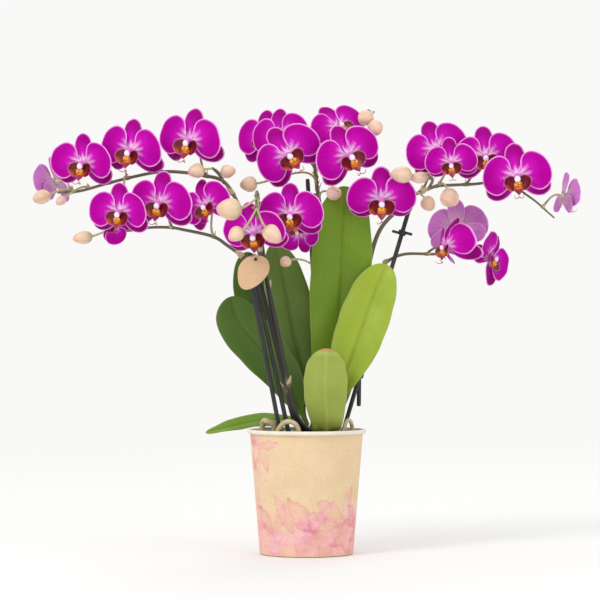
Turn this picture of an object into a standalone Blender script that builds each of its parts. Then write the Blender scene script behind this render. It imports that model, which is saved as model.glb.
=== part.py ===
"""A potted moth orchid: a kraft paper cover pot with a rolled rim, a clear grow pot of bark,
a crown with seven leaves and three roots, six flower spikes with their buds, black stakes
and clips, a round tag, and twenty-five flowers.

Sizes are in millimetres and become metres where a mesh is made. +Z is up and -Y is the
front. The pot stands on z = 0 around the Z axis. Heights on the plant are above the rim.
"""

import math

import bmesh
import bpy
from mathutils import Euler, Matrix, Vector, noise

MM = 0.001
GAP = 0.3  # between pieces that touch
MERGE = 0.00002  # metres, for welds

# Cover pot, a paper cup with a rolled rim
POT_HEIGHT = 112.0
WALL_TOP_RADIUS = 50.8
BASE_RADIUS = 42.0
COVER_WALL = 1.2
COVER_FLOOR = 2.0
RIM_OVERHANG = 3.2
RIM_HEIGHT = 3.8
TURN_STEPS = 36

# Grow pot inside it
GROW_CLEARANCE = 1.0
GROW_WALL = 0.8
GROW_BELOW_RIM = 4.0
DRAIN_HOLES = 6
DRAIN_RADIUS = 3.0
DRAIN_CIRCLE = 24.0

# Bark
BARK_BELOW_RIM = 9.0
BARK_CLEARANCE = 0.6
BARK_BUMP = 1.1
BARK_STEPS = 24

# Crown, the short stem that the leaves and spikes grow from
CROWN_X = 11.0
CROWN_RADIUS = 9.0
CROWN_TOP = 15.0  # above the rim
CROWN_BOTTOM = -22.0

# Stakes and clips
STAKE_RADIUS = 2.0
STAKE_END = 45.0  # height of a long stake's lower end
CLIP_WALL = 1.3
CLIP_HEIGHT = 4.5

# Tag
TAG_THICKNESS = 1.0
TAG_ARM = 1.3  # radius of the clip's arm that it hangs from

# Leaves
LEAF_THICKNESS = 1.7
LEAF_CLASP = 1.0  # room between a folded leaf base and the crown

# Flowers, as one model of this span that each flower scales
FLOWER_SPAN = 58.0
TEPAL_THICKNESS = 1.1
HUB_BACK = 5.0
PEDICEL_RADIUS = 1.1
STALK_GAP = 0.6  # between a stalk and the slanting back of its flower


def vec(x, y, z=0.0):
    return Vector((x, y, z)) * MM


def above_rim(x, y, height):
    """A point of the plant in metres, its height measured up from the pot's rim."""
    return vec(x, y, POT_HEIGHT + height)


# Scene and materials

for old in list(bpy.data.objects):
    bpy.data.objects.remove(old)
orchid = bpy.data.collections.new("potted_orchid")
helpers = bpy.data.collections.new("cutters")
bpy.context.scene.collection.children.link(orchid)
bpy.context.scene.collection.children.link(helpers)


def material(name, colour, roughness, alpha=1.0):
    made = bpy.data.materials.new(name)
    made.use_nodes = True
    shader = made.node_tree.nodes["Principled BSDF"]
    shader.inputs["Base Color"].default_value = (*colour, 1.0)
    shader.inputs["Roughness"].default_value = roughness
    shader.inputs["Metallic"].default_value = 0.0
    shader.inputs["Alpha"].default_value = alpha
    made.diffuse_color = (*colour, alpha)
    return made


KRAFT = material("kraft_paper", (0.68, 0.45, 0.24), 0.85)
CLEAR = material("clear_plastic", (0.80, 0.84, 0.82), 0.2, 0.35)
BARK = material("pine_bark", (0.13, 0.06, 0.03), 0.95)
STEM = material("spike_green", (0.14, 0.16, 0.05), 0.5)
DARK_STEM = material("spike_dark", (0.035, 0.03, 0.025), 0.5)
LEAF = material("leaf_green", (0.16, 0.30, 0.05), 0.4)
YOUNG_LEAF = material("leaf_yellow_green", (0.30, 0.42, 0.09), 0.4)
ROOT = material("root_pale", (0.62, 0.52, 0.26), 0.7)
BLACK = material("black_plastic", (0.012, 0.012, 0.013), 0.35)
TAG = material("tag_card", (0.62, 0.42, 0.24), 0.85)
PETAL = material("petal_magenta", (0.52, 0.0, 0.40), 0.45)


# Making and joining shapes


def put(name, mesh, surface, collection=orchid):
    made = bpy.data.objects.new(name, mesh)
    mesh.materials.clear()
    mesh.materials.append(surface)
    collection.objects.link(made)
    return made


def helper(name, mesh):
    made = put(name, mesh, BLACK, helpers)
    made.hide_render = True
    made.display_type = "WIRE"
    return made


def frozen(made):
    """The object's evaluated shape as a welded mesh in world space. The object goes."""
    bpy.context.view_layer.update()
    seen = made.evaluated_get(bpy.context.evaluated_depsgraph_get())
    mesh = bpy.data.meshes.new_from_object(seen)
    mesh.transform(made.matrix_world)
    shape = bmesh.new()
    shape.from_mesh(mesh)
    bmesh.ops.remove_doubles(shape, verts=shape.verts, dist=MERGE)
    shape.to_mesh(mesh)
    shape.free()
    bpy.data.objects.remove(made)
    return mesh


def from_bmesh(name, shape):
    mesh = bpy.data.meshes.new(name)
    shape.to_mesh(mesh)
    shape.free()
    return mesh


def combine(made, mesh, operation):
    """One Boolean modifier on an object, with a helper of its own."""
    cut = made.modifiers.new(operation.lower(), "BOOLEAN")
    cut.operation = operation
    cut.solver = "EXACT"
    cut.object = helper(f"{made.name}_{operation.lower()}_{len(made.modifiers)}", mesh)


def union(name, meshes, surface):
    made = put(name, meshes[0], surface)
    for mesh in meshes[1:]:
        combine(made, mesh, "UNION")
    made.data.shade_smooth()
    made.data.set_sharp_from_angle(angle=math.radians(50))
    return made


def turned(name, profile, steps, surface):
    """A solid turned around Z from (radius, height) points that run down its outer side."""
    shape = bmesh.new()
    corners = [shape.verts.new(vec(radius, 0, height)) for radius, height in profile]
    for first, second in zip(corners, corners[1:], strict=False):
        shape.edges.new((first, second))
    made = put(name, from_bmesh(name, shape), surface)
    screw = made.modifiers.new("turn", "SCREW")
    screw.steps = steps
    screw.render_steps = steps
    screw.use_merge_vertices = True
    screw.merge_threshold = MERGE
    screw.use_normal_calculate = False
    screw.use_smooth_shade = True
    return made


def through(points, count):
    """A smooth row of points through the given ones (Catmull-Rom)."""
    ends = [points[0] * 2 - points[1], *points, points[-1] * 2 - points[-2]]
    row = []
    for step in range(count):
        place = step / (count - 1) * (len(points) - 1)
        i = min(int(place), len(points) - 2)
        t = place - i
        a, b, c, d = ends[i : i + 4]
        row.append(
            0.5 * (2 * b + (c - a) * t + (2 * a - 5 * b + 4 * c - d) * t * t
                   + (3 * b - a - 3 * c + d) * t ** 3)
        )
    return row


def bezier(start, first, second, end, count):
    row = []
    for step in range(count):
        t = step / (count - 1)
        row.append(start * (1 - t) ** 3 + first * 3 * t * (1 - t) ** 2
                   + second * 3 * t * t * (1 - t) + end * t ** 3)
    return row


def tube(name, points, start_radius, end_radius, resolution=2):
    """A round bar along the points, in metres, as a welded mesh."""
    wire = bpy.data.curves.new(name, "CURVE")
    wire.dimensions = "3D"
    wire.bevel_depth = MM
    wire.bevel_resolution = resolution
    wire.use_fill_caps = True
    line = wire.splines.new("POLY")
    line.points.add(len(points) - 1)
    for i, (knot, place) in enumerate(zip(line.points, points, strict=True)):
        knot.co = (*place, 1.0)
        share = i / (len(points) - 1)
        knot.radius = start_radius + (end_radius - start_radius) * share
    made = bpy.data.objects.new(name, wire)
    helpers.objects.link(made)
    return frozen(made)


def ball(centre, sizes, turn, segments=8, rings=5):
    """An ellipsoid mesh: centre in metres, half sizes in millimetres, turned by a matrix."""
    shape = bmesh.new()
    bmesh.ops.create_uvsphere(shape, u_segments=segments, v_segments=rings, radius=MM)
    grown = Matrix.Diagonal((*sizes, 1.0))
    bmesh.ops.transform(shape, matrix=Matrix.Translation(centre) @ turn @ grown, verts=shape.verts)
    return from_bmesh("ball", shape)


def bar(start, end, radius, segments=8):
    """A straight round bar mesh between two points in metres."""
    run = end - start
    shape = bmesh.new()
    bmesh.ops.create_cone(shape, cap_ends=True, segments=segments, radius1=radius * MM,
                          radius2=radius * MM, depth=run.length)
    turn = run.to_track_quat("Z", "Y").to_matrix().to_4x4()
    bmesh.ops.transform(shape, matrix=Matrix.Translation((start + end) / 2) @ turn,
                        verts=shape.verts)
    return from_bmesh("bar", shape)


# Pots and bark


def cover_inside(height):
    """The cover pot's inner radius at a height."""
    wall_height = POT_HEIGHT - RIM_HEIGHT
    share = height / wall_height
    return BASE_RADIUS + (WALL_TOP_RADIUS - BASE_RADIUS) * share - COVER_WALL


def grow_inside(height):
    return cover_inside(height) - GROW_CLEARANCE - GROW_WALL


def cover_pot():
    wall_height = POT_HEIGHT - RIM_HEIGHT
    inner_top = cover_inside(wall_height)
    middle = (inner_top + WALL_TOP_RADIUS + RIM_OVERHANG) / 2
    reach = WALL_TOP_RADIUS + RIM_OVERHANG - middle
    profile = [(0, COVER_FLOOR), (cover_inside(COVER_FLOOR), COVER_FLOOR)]
    for step in range(7):
        angle = math.pi - math.pi * 1.25 * step / 6
        profile.append((middle + reach * math.cos(angle),
                        POT_HEIGHT - RIM_HEIGHT / 2 + RIM_HEIGHT / 2 * math.sin(angle)))
    profile += [(WALL_TOP_RADIUS, wall_height), (BASE_RADIUS, 1.0), (BASE_RADIUS - 1.0, 0), (0, 0)]
    turned("cover_pot", profile, TURN_STEPS, KRAFT)


GROW_FLOOR = COVER_FLOOR + GAP
GROW_TOP = POT_HEIGHT - GROW_BELOW_RIM
BARK_FLOOR = GROW_FLOOR + GROW_WALL + GAP
BARK_TOP = POT_HEIGHT - BARK_BELOW_RIM
BARK_RADIUS = grow_inside(BARK_TOP) - BARK_CLEARANCE


def grow_pot():
    outer_floor = cover_inside(GROW_FLOOR) - GROW_CLEARANCE
    outer_top = cover_inside(GROW_TOP) - GROW_CLEARANCE
    inner_floor = GROW_FLOOR + GROW_WALL
    profile = [
        (0, inner_floor),
        (grow_inside(inner_floor), inner_floor),
        (grow_inside(GROW_TOP), GROW_TOP),
        (outer_top, GROW_TOP),
        (outer_floor, GROW_FLOOR),
        (0, GROW_FLOOR),
    ]
    made = put("grow_pot", frozen(turned("grow_pot", profile, TURN_STEPS, CLEAR)), CLEAR)
    for i in range(DRAIN_HOLES):
        angle = math.tau * (i + 0.4) / DRAIN_HOLES
        x, y = DRAIN_CIRCLE * math.cos(angle), DRAIN_CIRCLE * math.sin(angle)
        hole = bar(vec(x, y, GROW_FLOOR - 1), vec(x, y, inner_floor + 1), DRAIN_RADIUS)
        combine(made, hole, "DIFFERENCE")


def bark_mix(sockets):
    rings = 5
    profile = [(BARK_RADIUS * i / rings, BARK_TOP) for i in range(rings + 1)]
    profile += [(grow_inside(BARK_FLOOR) - BARK_CLEARANCE, BARK_FLOOR), (0, BARK_FLOOR)]
    mesh = frozen(turned("bark_mix", profile, BARK_STEPS, BARK))
    for corner in mesh.vertices:
        x, y, z = corner.co / MM
        inside = math.hypot(x, y) < BARK_RADIUS * (rings - 0.5) / rings
        if z > BARK_TOP - 0.1 and inside:
            bump = noise.noise(Vector((x * 0.11, y * 0.11, 3.7)))
            corner.co.z += BARK_BUMP * MM * (2 * bump + 0.5)
    made = put("bark_mix", mesh, BARK)
    for socket in sockets:
        combine(made, socket, "DIFFERENCE")


# Crown and leaves


def from_crown(angle):
    """The level direction that leads away from the crown at an angle from +X."""
    return Vector((math.cos(math.radians(angle)), math.sin(math.radians(angle)), 0))


def beside_crown(angle, height, half_depth):
    """A point that keeps a piece of this half depth just clear of the crown's side."""
    reach = CROWN_RADIUS + GAP + half_depth
    return above_rim(CROWN_X, 0, height) + from_crown(angle) * reach * MM


def crown():
    profile = [
        (0, POT_HEIGHT + CROWN_TOP),
        (CROWN_RADIUS * 0.6, POT_HEIGHT + CROWN_TOP - 1),
        (CROWN_RADIUS, POT_HEIGHT + CROWN_TOP - 6),
        (CROWN_RADIUS, POT_HEIGHT + CROWN_BOTTOM + 4),
        (CROWN_RADIUS * 0.7, POT_HEIGHT + CROWN_BOTTOM),
        (0, POT_HEIGHT + CROWN_BOTTOM),
    ]
    made = turned("crown_stem", profile, 16, YOUNG_LEAF)
    made.location = vec(CROWN_X, 0)
    top = vec(CROWN_X, 0, POT_HEIGHT + CROWN_TOP)
    foot = vec(CROWN_X, 0, POT_HEIGHT + CROWN_BOTTOM - GAP)
    return bar(foot, top, CROWN_RADIUS + GAP + 0.2, 16)


def half_width(share, base, peak):
    """Half a leaf's width along it, as a share of its greatest half width."""
    if share < peak:
        return base + (1 - base) * math.sin(share / peak * math.pi / 2) ** 1.5
    return max(0.2, math.sqrt(max(0.0, 1 - ((share - peak) / (1 - peak)) ** 2.4)))


def leaf(name, angle, points, width, base, peak, front, fold, surface=LEAF):
    """A leaf along its midrib, which starts beside the crown at an angle and the first
    point's height. Its upper side looks at the crown there and to the front further on.
    fold is how far its halves are raised to that side, in degrees."""
    columns, rows = 4, 8
    shape = bmesh.new()
    bmesh.ops.create_grid(shape, x_segments=columns, y_segments=rows, size=1.0)
    start = beside_crown(angle, points[0], LEAF_THICKNESS / 2 + LEAF_CLASP)
    midrib = through([start, *(above_rim(*place) for place in points[1:])], 41)
    raised = math.radians(fold)
    for corner in shape.verts:
        share = (corner.co.y + 1) / 2
        place = share * 40
        i = min(int(place), 39)
        centre = midrib[i].lerp(midrib[i + 1], place - i)
        along = (midrib[i + 1] - midrib[i]).normalized()
        turned_away = min(1.0, share / 0.25)
        looks = (-from_crown(angle)).lerp(Vector(front), turned_away)
        side = along.cross(looks).normalized()
        up = side.cross(along).normalized()
        reach = corner.co.x * half_width(share, base, peak) * width / 2 * MM
        corner.co = (centre + side * reach * math.cos(raised)
                     + up * abs(reach) * math.sin(raised))
    made = put(name, from_bmesh(name, shape), surface)
    skin = made.modifiers.new("thickness", "SOLIDIFY")
    skin.thickness = LEAF_THICKNESS * MM
    skin.offset = 0
    made.data.shade_smooth()


def leaves():
    leaf("leaf_centre", 60,
         [9, (20, 12, 44), (28, 11, 89), (31, 12, 143), (33, 13, 188), (35, 12, 219)],
         58, 0.18, 0.54, (0.1, -1, 0.1), 16)
    leaf("leaf_right", -28, [5, (32, -10, 43), (45, -9, 78), (59, -3, 117), (72, 2, 148)],
         47, 0.15, 0.60, (-0.2, -1, 0.1), 14, YOUNG_LEAF)
    leaf("leaf_front", -66, [-5, (18, -26, 3), (17, -34, 27), (17, -37, 52), (18, -35, 73)],
         40, 0.40, 0.62, (0, 1, 0.1), 14, YOUNG_LEAF)
    leaf("leaf_left_centre", 112, [8, (-2, 24, 44), (-12, 27, 89), (-20, 29, 130), (-29, 30, 168)],
         43, 0.16, 0.58, (0.15, -1, 0.1), 14)
    leaf("leaf_left_inner", 156,
         [5, (-10, 20, 25), (-21, 34, 56), (-38, 37, 98), (-50, 40, 130), (-55, 40, 160)],
         41, 0.15, 0.56, (0.1, -1, 0.1), 12)
    leaf("leaf_left_outer", 203,
         [3, (-10, -1, 24), (-21, 2, 46), (-42, 3, 72), (-61, 4, 95), (-69, 5, 119)],
         46, 0.14, 0.66, (0.25, -1, 0.35), 12)
    past_rim = WALL_TOP_RADIUS + RIM_OVERHANG
    leaf("leaf_low_left", 135,
         [-4, (-10, 31, 5), (-40, 42, 6), (-past_rim - 12, 44, 1), (-past_rim - 38, 40, -5)],
         24, 0.40, 0.50, (0.1, -0.5, 1), 10)


# Roots, stakes and clips


def in_bark(x_share, y_share, height):
    """A point by its share of the bark's radius, at a height above the rim."""
    return above_rim(x_share * BARK_RADIUS, y_share * BARK_RADIUS, height)


def in_pot(x_share, y_share):
    """A point at the stakes' lower ends, by its share of the grow pot's radius there."""
    return vec(x_share * grow_inside(STAKE_END), y_share * grow_inside(STAKE_END), STAKE_END)


def root(name, points, radius, sockets):
    path = through(points, 10)
    put(name, tube(name, path, radius, radius * 0.85), ROOT)
    first = path[0] + (path[0] - path[1]).normalized() * GAP * MM
    last = path[-1] + (path[-1] - path[-2]).normalized() * GAP * MM
    sockets.append(tube(name, [first, *path[1:-1], last], radius + GAP, radius * 0.85 + GAP))


def roots(sockets):
    deep = -BARK_BELOW_RIM - 6
    root("root_arch", [in_bark(-0.57, -0.71, deep), in_bark(-0.54, -0.74, 0), in_bark(-0.38, -0.80, 8),
                       in_bark(-0.18, -0.82, 4), in_bark(-0.10, -0.78, deep)], 2.4, sockets)
    root("root_left", [in_bark(-0.62, -0.36, deep), in_bark(-0.62, -0.42, 3), in_bark(-0.76, -0.44, 8),
                       in_bark(-0.84, -0.32, 5), in_bark(-0.84, -0.20, deep)], 2.8, sockets)
    root("root_right", [in_bark(0.68, -0.40, deep), in_bark(0.72, -0.45, 2), in_bark(0.80, -0.42, 9),
                        in_bark(0.87, -0.30, 3), in_bark(0.86, -0.20, deep)], 2.0, sockets)


STAKES = {}


def stake(name, start, top):
    """A straight stake between two points."""
    STAKES[name] = (start, top)
    put(name, bar(start, top, STAKE_RADIUS), BLACK)


def stakes(sockets):
    stake("stake_left_outer", in_pot(-0.265, -0.517), above_rim(-52, -38, 148))
    stake("stake_left_inner", in_pot(-0.042, -0.549), above_rim(-51, -31, 158))
    stake("stake_centre", in_pot(0.425, 0.774), above_rim(1, 36, 227))
    stake("stake_right", in_pot(0.325, 0.135), above_rim(96, 20, 208))
    for start, top in STAKES.values():
        slope = (top - start).normalized()
        depth = (BARK_TOP + 4 * BARK_BUMP) * MM - start.z
        clear = start + slope * depth / slope.z
        sockets.append(bar(start - slope * GAP * MM, clear, STAKE_RADIUS + GAP))
    beside, _ = on_stake("stake_right", 20)
    start = beside + vec(7.65, 10.73, 0)
    stake("stake_short", start, start + vec(1.5, 3, 120))


def on_stake(name, height):
    """A stake's centre at a height above the rim, and its direction."""
    start, end = STAKES[name]
    share = ((POT_HEIGHT + height) * MM - start.z) / (end.z - start.z)
    return start.lerp(end, share), (end - start).normalized()


def clip(name, centre, along, hold, arms):
    """A split-free ring around a bar of radius hold, with round arms that reach out."""
    half = along * CLIP_HEIGHT / 2 * MM
    outer = hold + GAP + CLIP_WALL
    pieces = [bar(centre - half, centre + half, outer, 12)]
    for start, end, radius in arms:
        pieces.append(bar(start, end, radius, 8))
    made = union(name, pieces, BLACK)
    combine(made, bar(centre - half * 2, centre + half * 2, hold + GAP, 12), "DIFFERENCE")
    return made


def clips():
    arm = 1.3
    centre, along = on_stake("stake_right", 177)
    clip("clip_right", centre, along, STAKE_RADIUS,
         [(centre - vec(9, 0, -1.5), centre - vec(STAKE_RADIUS + 1, 0, 0), arm),
          (centre + vec(STAKE_RADIUS + 1, 0, 0), centre + vec(9, 0, -1.5), arm)])
    centre, along = on_stake("stake_centre", 212)
    clip("clip_centre", centre, along, STAKE_RADIUS,
         [(centre + vec(STAKE_RADIUS + 1, -1, 0), centre + vec(7.5, -3.5, 0), arm),
          (centre - vec(STAKE_RADIUS + 1, 0, 0), centre - vec(5.5, 0, -1), arm)])
    centre, along = on_stake("stake_short", 48)
    near, _ = on_stake("stake_right", 48)
    made = clip("clip_low", centre, along, STAKE_RADIUS,
                [(centre + (near - centre) * 0.35, near - (near - centre) * 0.1, CLIP_HEIGHT / 2)])
    start, end = STAKES["stake_right"]
    combine(made, bar(start, end, STAKE_RADIUS + GAP, 12), "DIFFERENCE")
    centre, along = on_stake("stake_left_outer", 148)
    hang = tag_hang()
    clip("clip_left", centre, along, STAKE_RADIUS,
         [(centre.lerp(hang, 0.3), hang + vec(0, 3.5, 0), TAG_ARM),
          (hang + vec(0, 4.2, 0), hang + vec(0, -3, 0), TAG_ARM)])


def tag_hang():
    """The point on the left clip's arm that the tag hangs from."""
    centre, _ = on_stake("stake_left_outer", 148)
    return centre + vec(7, -11, 4)


def tag():
    """A card with round corners that hangs from the left clip's arm by a hole at its top."""
    hang = tag_hang()
    outline = bpy.data.curves.new("tag", "CURVE")
    outline.dimensions = "2D"
    outline.fill_mode = "BOTH"
    outline.extrude = TAG_THICKNESS / 2 * MM
    outline.resolution_u = 6
    card = outline.splines.new("BEZIER")
    card.use_cyclic_u = True
    card.bezier_points.add(3)
    corners = [((12.5, -8), (0, 8)), ((-0.5, 3.5), (-9, 0)), ((-16, -12), (0, -8)), ((-8, -27), (7, 0))]
    for knot, (place, reach) in zip(card.bezier_points, corners, strict=True):
        knot.co = vec(*place)
        knot.handle_left = vec(place[0] - reach[0], place[1] - reach[1])
        knot.handle_right = vec(place[0] + reach[0], place[1] + reach[1])
    flat = bpy.data.objects.new("tag_outline", outline)
    helpers.objects.link(flat)
    flat.location = hang
    flat.rotation_euler = (math.radians(88), 0, math.radians(-8))
    made = put("tag", frozen(flat), TAG)
    combine(made, bar(hang + vec(0, 8, 0), hang + vec(0, -8, 0), TAG_ARM + GAP, 8), "DIFFERENCE")


# Flowers: where each one's centre is, how wide it is, and how far it is turned to the
# right, nods forward and leans clockwise, in degrees

FLOWERS = {
    "flower_01": ((-227, 16, 223), 50, -115, 10, 0),
    "flower_02": ((-199, -24, 238), 58, -22, 12, 4),
    "flower_03": ((-156, -30, 249), 60, -25, 10, 6),
    "flower_04": ((-104, -24, 258), 62, -26, 8, 6),
    "flower_05": ((-165, -44, 194), 56, -20, 12, 4),
    "flower_06": ((-171, -21, 184), 37, -20, 10, 95),
    "flower_07": ((-130, -36, 202), 60, -22, 10, 4),
    "flower_08": ((-89, -28, 200), 53, -28, 6, -22),
    "flower_09": ((-46, -62, 175), 58, -14, 26, -5),
    "flower_10": ((-14, -46, 192), 58, -8, 12, 0),
    "flower_11": ((-6, -16, 177), 42, -25, 20, 170),
    "flower_12": ((-15.5, -12, 246), 62, 0, 5, -37),
    "flower_13": ((-37, 42, 264), 57, -22, 0, -6),
    "flower_14": ((-23, 13, 264), 56, -20, 0, -14),
    "flower_15": ((37.5, -18, 245), 62, 18, 5, -27),
    "flower_16": ((29, 26.5, 273), 55, 22, -24, -22),
    "flower_17": ((67, -20, 206), 62, 0, 26, 0),
    "flower_18": ((117, 2, 252), 58, -6, 0, -23),
    "flower_19": ((128, -44, 238), 47, -4, 24, -6),
    "flower_20": ((161, -8, 245), 58, -5, 6, -7),
    "flower_21": ((187.5, -28, 226), 63, -3, 8, -6),
    "flower_22": ((232, 4, 210), 46, 108, 8, 0),
    "flower_23": ((139, 52, 182), 56, 168, 8, 8),
    "flower_24": ((127, -1, 165), 51, -55, 8, -8),
    "flower_25": ((168, 50, 155), 54, 55, 6, 38),
}


# One tepal: its turn from the top, length, width, how far it stands back and how much
# further back its tip bends, in millimetres on the model flower, and its rows of faces
SEPALS = [
    (0, 26.5, 19.5, 1.6, 6, 2),
    (121, 28.5, 19.5, 1.6, 7, 2),
    (-121, 28.5, 19.5, 1.6, 7, 2),
]
PETALS = [
    (80, 29.0, 32.0, -1.2, 2, 3),
    (-80, 29.0, 32.0, -1.2, 2, 3),
]
# How far the tips of a flower's tepals are drawn forward, in millimetres on the model
# flower. Those of the flowers that aren't named stay flat.
CUPPED = {
    "flower_01": 9, "flower_02": 6, "flower_05": 6, "flower_06": 8, "flower_11": 10,
    "flower_22": 9, "flower_24": -13, "flower_25": 6,
}
THROAT_RADIUS = 4.4  # where the sepals start, around one flat throat
PETAL_START = 1.8  # inside the column
CLAW = 1.4  # half a tepal's width where it starts
BASE_BACK = 0.5  # share of its back that a tepal already has where it starts
COLUMN_RADIUS = 2.6
COLUMN_REACH = 9.0
LIP_SIZES = (7.0, 4.4, 7.4)
LIP_PLACE = (0, -6.4, -8.6)


def tepal(shape, start, cup, angle, length, width, back, bend, rows):
    """Adds one tepal to a sheet, and gives the row of corners where it starts."""
    grid = bmesh.ops.create_grid(shape, x_segments=2, y_segments=rows, size=1.0)
    turn = Matrix.Rotation(math.radians(angle), 4, "Y")
    base = []
    for corner in grid["verts"]:
        along = (corner.co.y + 1) / 2
        spread = math.sqrt(max(0.0, 1 - abs((along - 0.54) / 0.54) ** 2.4))
        across = corner.co.x * max(CLAW, spread * width / 2)
        reach = start + along * (length - start)
        depth = back * min(1.0, BASE_BACK + along * 2) + bend * along ** 3
        depth -= cup * (across * across + reach * reach) / (length * length)
        if along < 0.01:
            base.append(corner)
            depth = back * BASE_BACK
        corner.co = turn @ vec(across, depth, reach)
    return base


def thickened(name, shape):
    """A sheet of tepals made solid."""
    bmesh.ops.recalc_face_normals(shape, faces=shape.faces)
    made = put(name, from_bmesh(name, shape), PETAL)
    skin = made.modifiers.new("thickness", "SOLIDIFY")
    skin.thickness = TEPAL_THICKNESS * MM
    skin.offset = 0
    return frozen(made)


def flower_mesh(cup):
    """The model flower: sepals around a throat, two petals, a column and a lip."""
    back = bmesh.new()
    throat = [corner for one in SEPALS for corner in tepal(back, THROAT_RADIUS, cup, *one)]
    throat.sort(key=lambda corner: math.atan2(corner.co.x, corner.co.z))
    back.faces.new(throat)
    sheets = [thickened("sepals", back)]
    for one in PETALS:
        front = bmesh.new()
        tepal(front, PETAL_START, cup, *one)
        sheets.append(thickened("petal", front))
    column = bar(vec(0, HUB_BACK, 0), vec(0, -COLUMN_REACH, -1.0), COLUMN_RADIUS, 6)
    tilt = Euler((math.radians(-25), 0, 0)).to_matrix().to_4x4()
    lip = ball(vec(*LIP_PLACE), LIP_SIZES, tilt, 6, 4)
    return frozen(union("model_flower", [*sheets, column, lip], PETAL))


def flower_place(name):
    (x, y, height), span, turn, nod, lean = FLOWERS[name]
    facing = Euler((math.radians(nod), math.radians(lean), math.radians(turn)), "YXZ")
    return above_rim(x, y, height), facing, span / FLOWER_SPAN


def flowers():
    meshes = {cup: flower_mesh(cup) for cup in sorted({0, *CUPPED.values()})}
    for name in FLOWERS:
        made = put(name, meshes[CUPPED.get(name, 0)], PETAL)
        made.rotation_mode = "YXZ"
        made.location, made.rotation_euler, size = flower_place(name)
        made.scale = (size, size, size)


def flower_back(name):
    """Where a flower's stalk ends, just behind it, and the way the stalk leaves it."""
    place, facing, size = flower_place(name)
    back = facing.to_matrix() @ Vector((0, 1, 0))
    return place + back * (HUB_BACK * size + STALK_GAP) * MM, back


# Spikes: the points of each stem from the crown outwards, its start and end radius, the
# flowers it bears, and its buds as (centre, half length, half thickness)

SPIKES = {
    "spike_upper_left": (
        (-107, -4),
        [(-6, -24, 8), (-15.5, -30, 38), (-31.5, -31, 116), (-44, -20, 165), (-60, -12, 200),
         (-74, -6, 222), (-93, -4, 228), (-114, -4, 231), (-133, -5, 231), (-154, -6, 227),
         (-178, -6, 221), (-204, -3, 214), (-224, 4, 213)],
        (2.1, 1.2), DARK_STEM,
        ["flower_01", "flower_02", "flower_03", "flower_04", "flower_05"],
        [((-237, -17, 208), 10, 6.5), ((-220, -12, 205), 5.5, 4)],
    ),
    "spike_lower_left": (
        (-130, -4),
        [(-8, -19, 7), (-18.5, -23, 40), (-39.5, -26, 125), (-48, -23, 147), (-57, -19, 155),
         (-71, -16, 165), (-84, -12, 173), (-110, -10, 179), (-122, -10, 181),
         (-140, -10, 181), (-163, -8, 178), (-180, -8, 175)],
        (2.1, 1.1), DARK_STEM,
        ["flower_06", "flower_07", "flower_08"],
        [((-200, -14, 172), 8.5, 5.8)],
    ),
    "spike_front": (
        (-154, -4),
        [(-8, -13, 3), (-13, -15.5, 14), (-19, -17, 40), (-33, -19, 116), (-39, -13, 161),
         (-43, -22, 192), (-43, -42, 208), (-44, -64, 211), (-44, -82, 203), (-43, -91, 186)],
        (2.1, 1.0), STEM,
        ["flower_09", "flower_10"],
        [((-67, -96, 195), 10.5, 9.5), ((-61, -97, 173), 7, 6.5), ((-30, -96, 173), 9, 7.5)],
    ),
    "spike_centre": (
        (84, -4),
        [(15, 26, 20), (18, 29, 89), (16, 29, 171), (12, 28, 204), (9, 27, 224),
         (9, 30, 243), (15, 39, 262), (28, 51, 275), (45, 54, 282), (58, 38, 286),
         (58, 15, 284)],
        (2.3, 1.1), STEM,
        ["flower_11", "flower_12", "flower_13", "flower_14", "flower_15", "flower_16"],
        [((-19, -22, 150), 5.5, 5), ((-52, -2, 220), 7.5, 7), ((25, -1, 212), 8, 6.5),
         ((53, 6, 280), 7.5, 7), ((62, 2, 271), 7.5, 7)],
    ),
    "spike_right": (
        (14, -4),
        [(34, 22, 30), (46, 31, 90), (62, 31, 168), (79, 22, 195), (89, 14, 206), (99, 12, 212),
         (117, 15, 219), (129, 16, 220), (152, 14, 221), (174, 8, 223), (187, 0, 218),
         (200, -4, 209), (208, -4, 203), (217, -2, 195), (223, 0, 190)],
        (2.3, 0.7), STEM,
        ["flower_17", "flower_18", "flower_19", "flower_20", "flower_21", "flower_22"],
        [((109, -14, 202), 8.5, 6.5),
         ((128, -18, 207), 10.5, 8.5)],
    ),
    "spike_back_right": (
        (48, -4),
        [(38, 38, 30), (54, 48, 90), (66, 50, 139), (74, 48, 151), (90, 42, 158), (118, 40, 158),
         (130, 50, 160), (141, 60, 157), (152, 66, 154)],
        (2.0, 0.9), STEM,
        ["flower_23", "flower_24", "flower_25"],
        [],
    ),
}
# Short side branches that bear two buds each, by their spike, as (points, buds)
SIDE_BRANCHES = {
    "spike_upper_left": ([(-74, -7, 221), (-78, -12, 228), (-84, -19, 234)],
                         [((-98, -27, 231), 7.5, 6.5), ((-70, -22, 231), 6.5, 6)]),
    "spike_right": ([(110, 14, 216), (113, -8, 223), (110, -22, 226)],
                    [((100, -29, 225), 9, 5.2), ((84, -42, 227), 10, 7.5)]),
}
SPIKE_POINTS = 20
STALK_STRAIGHT = 1.5  # so that a stalk meets its flower squarely
STALK_LEAD = 7  # a stalk leaves its spike this far before the point nearest its flower


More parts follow.
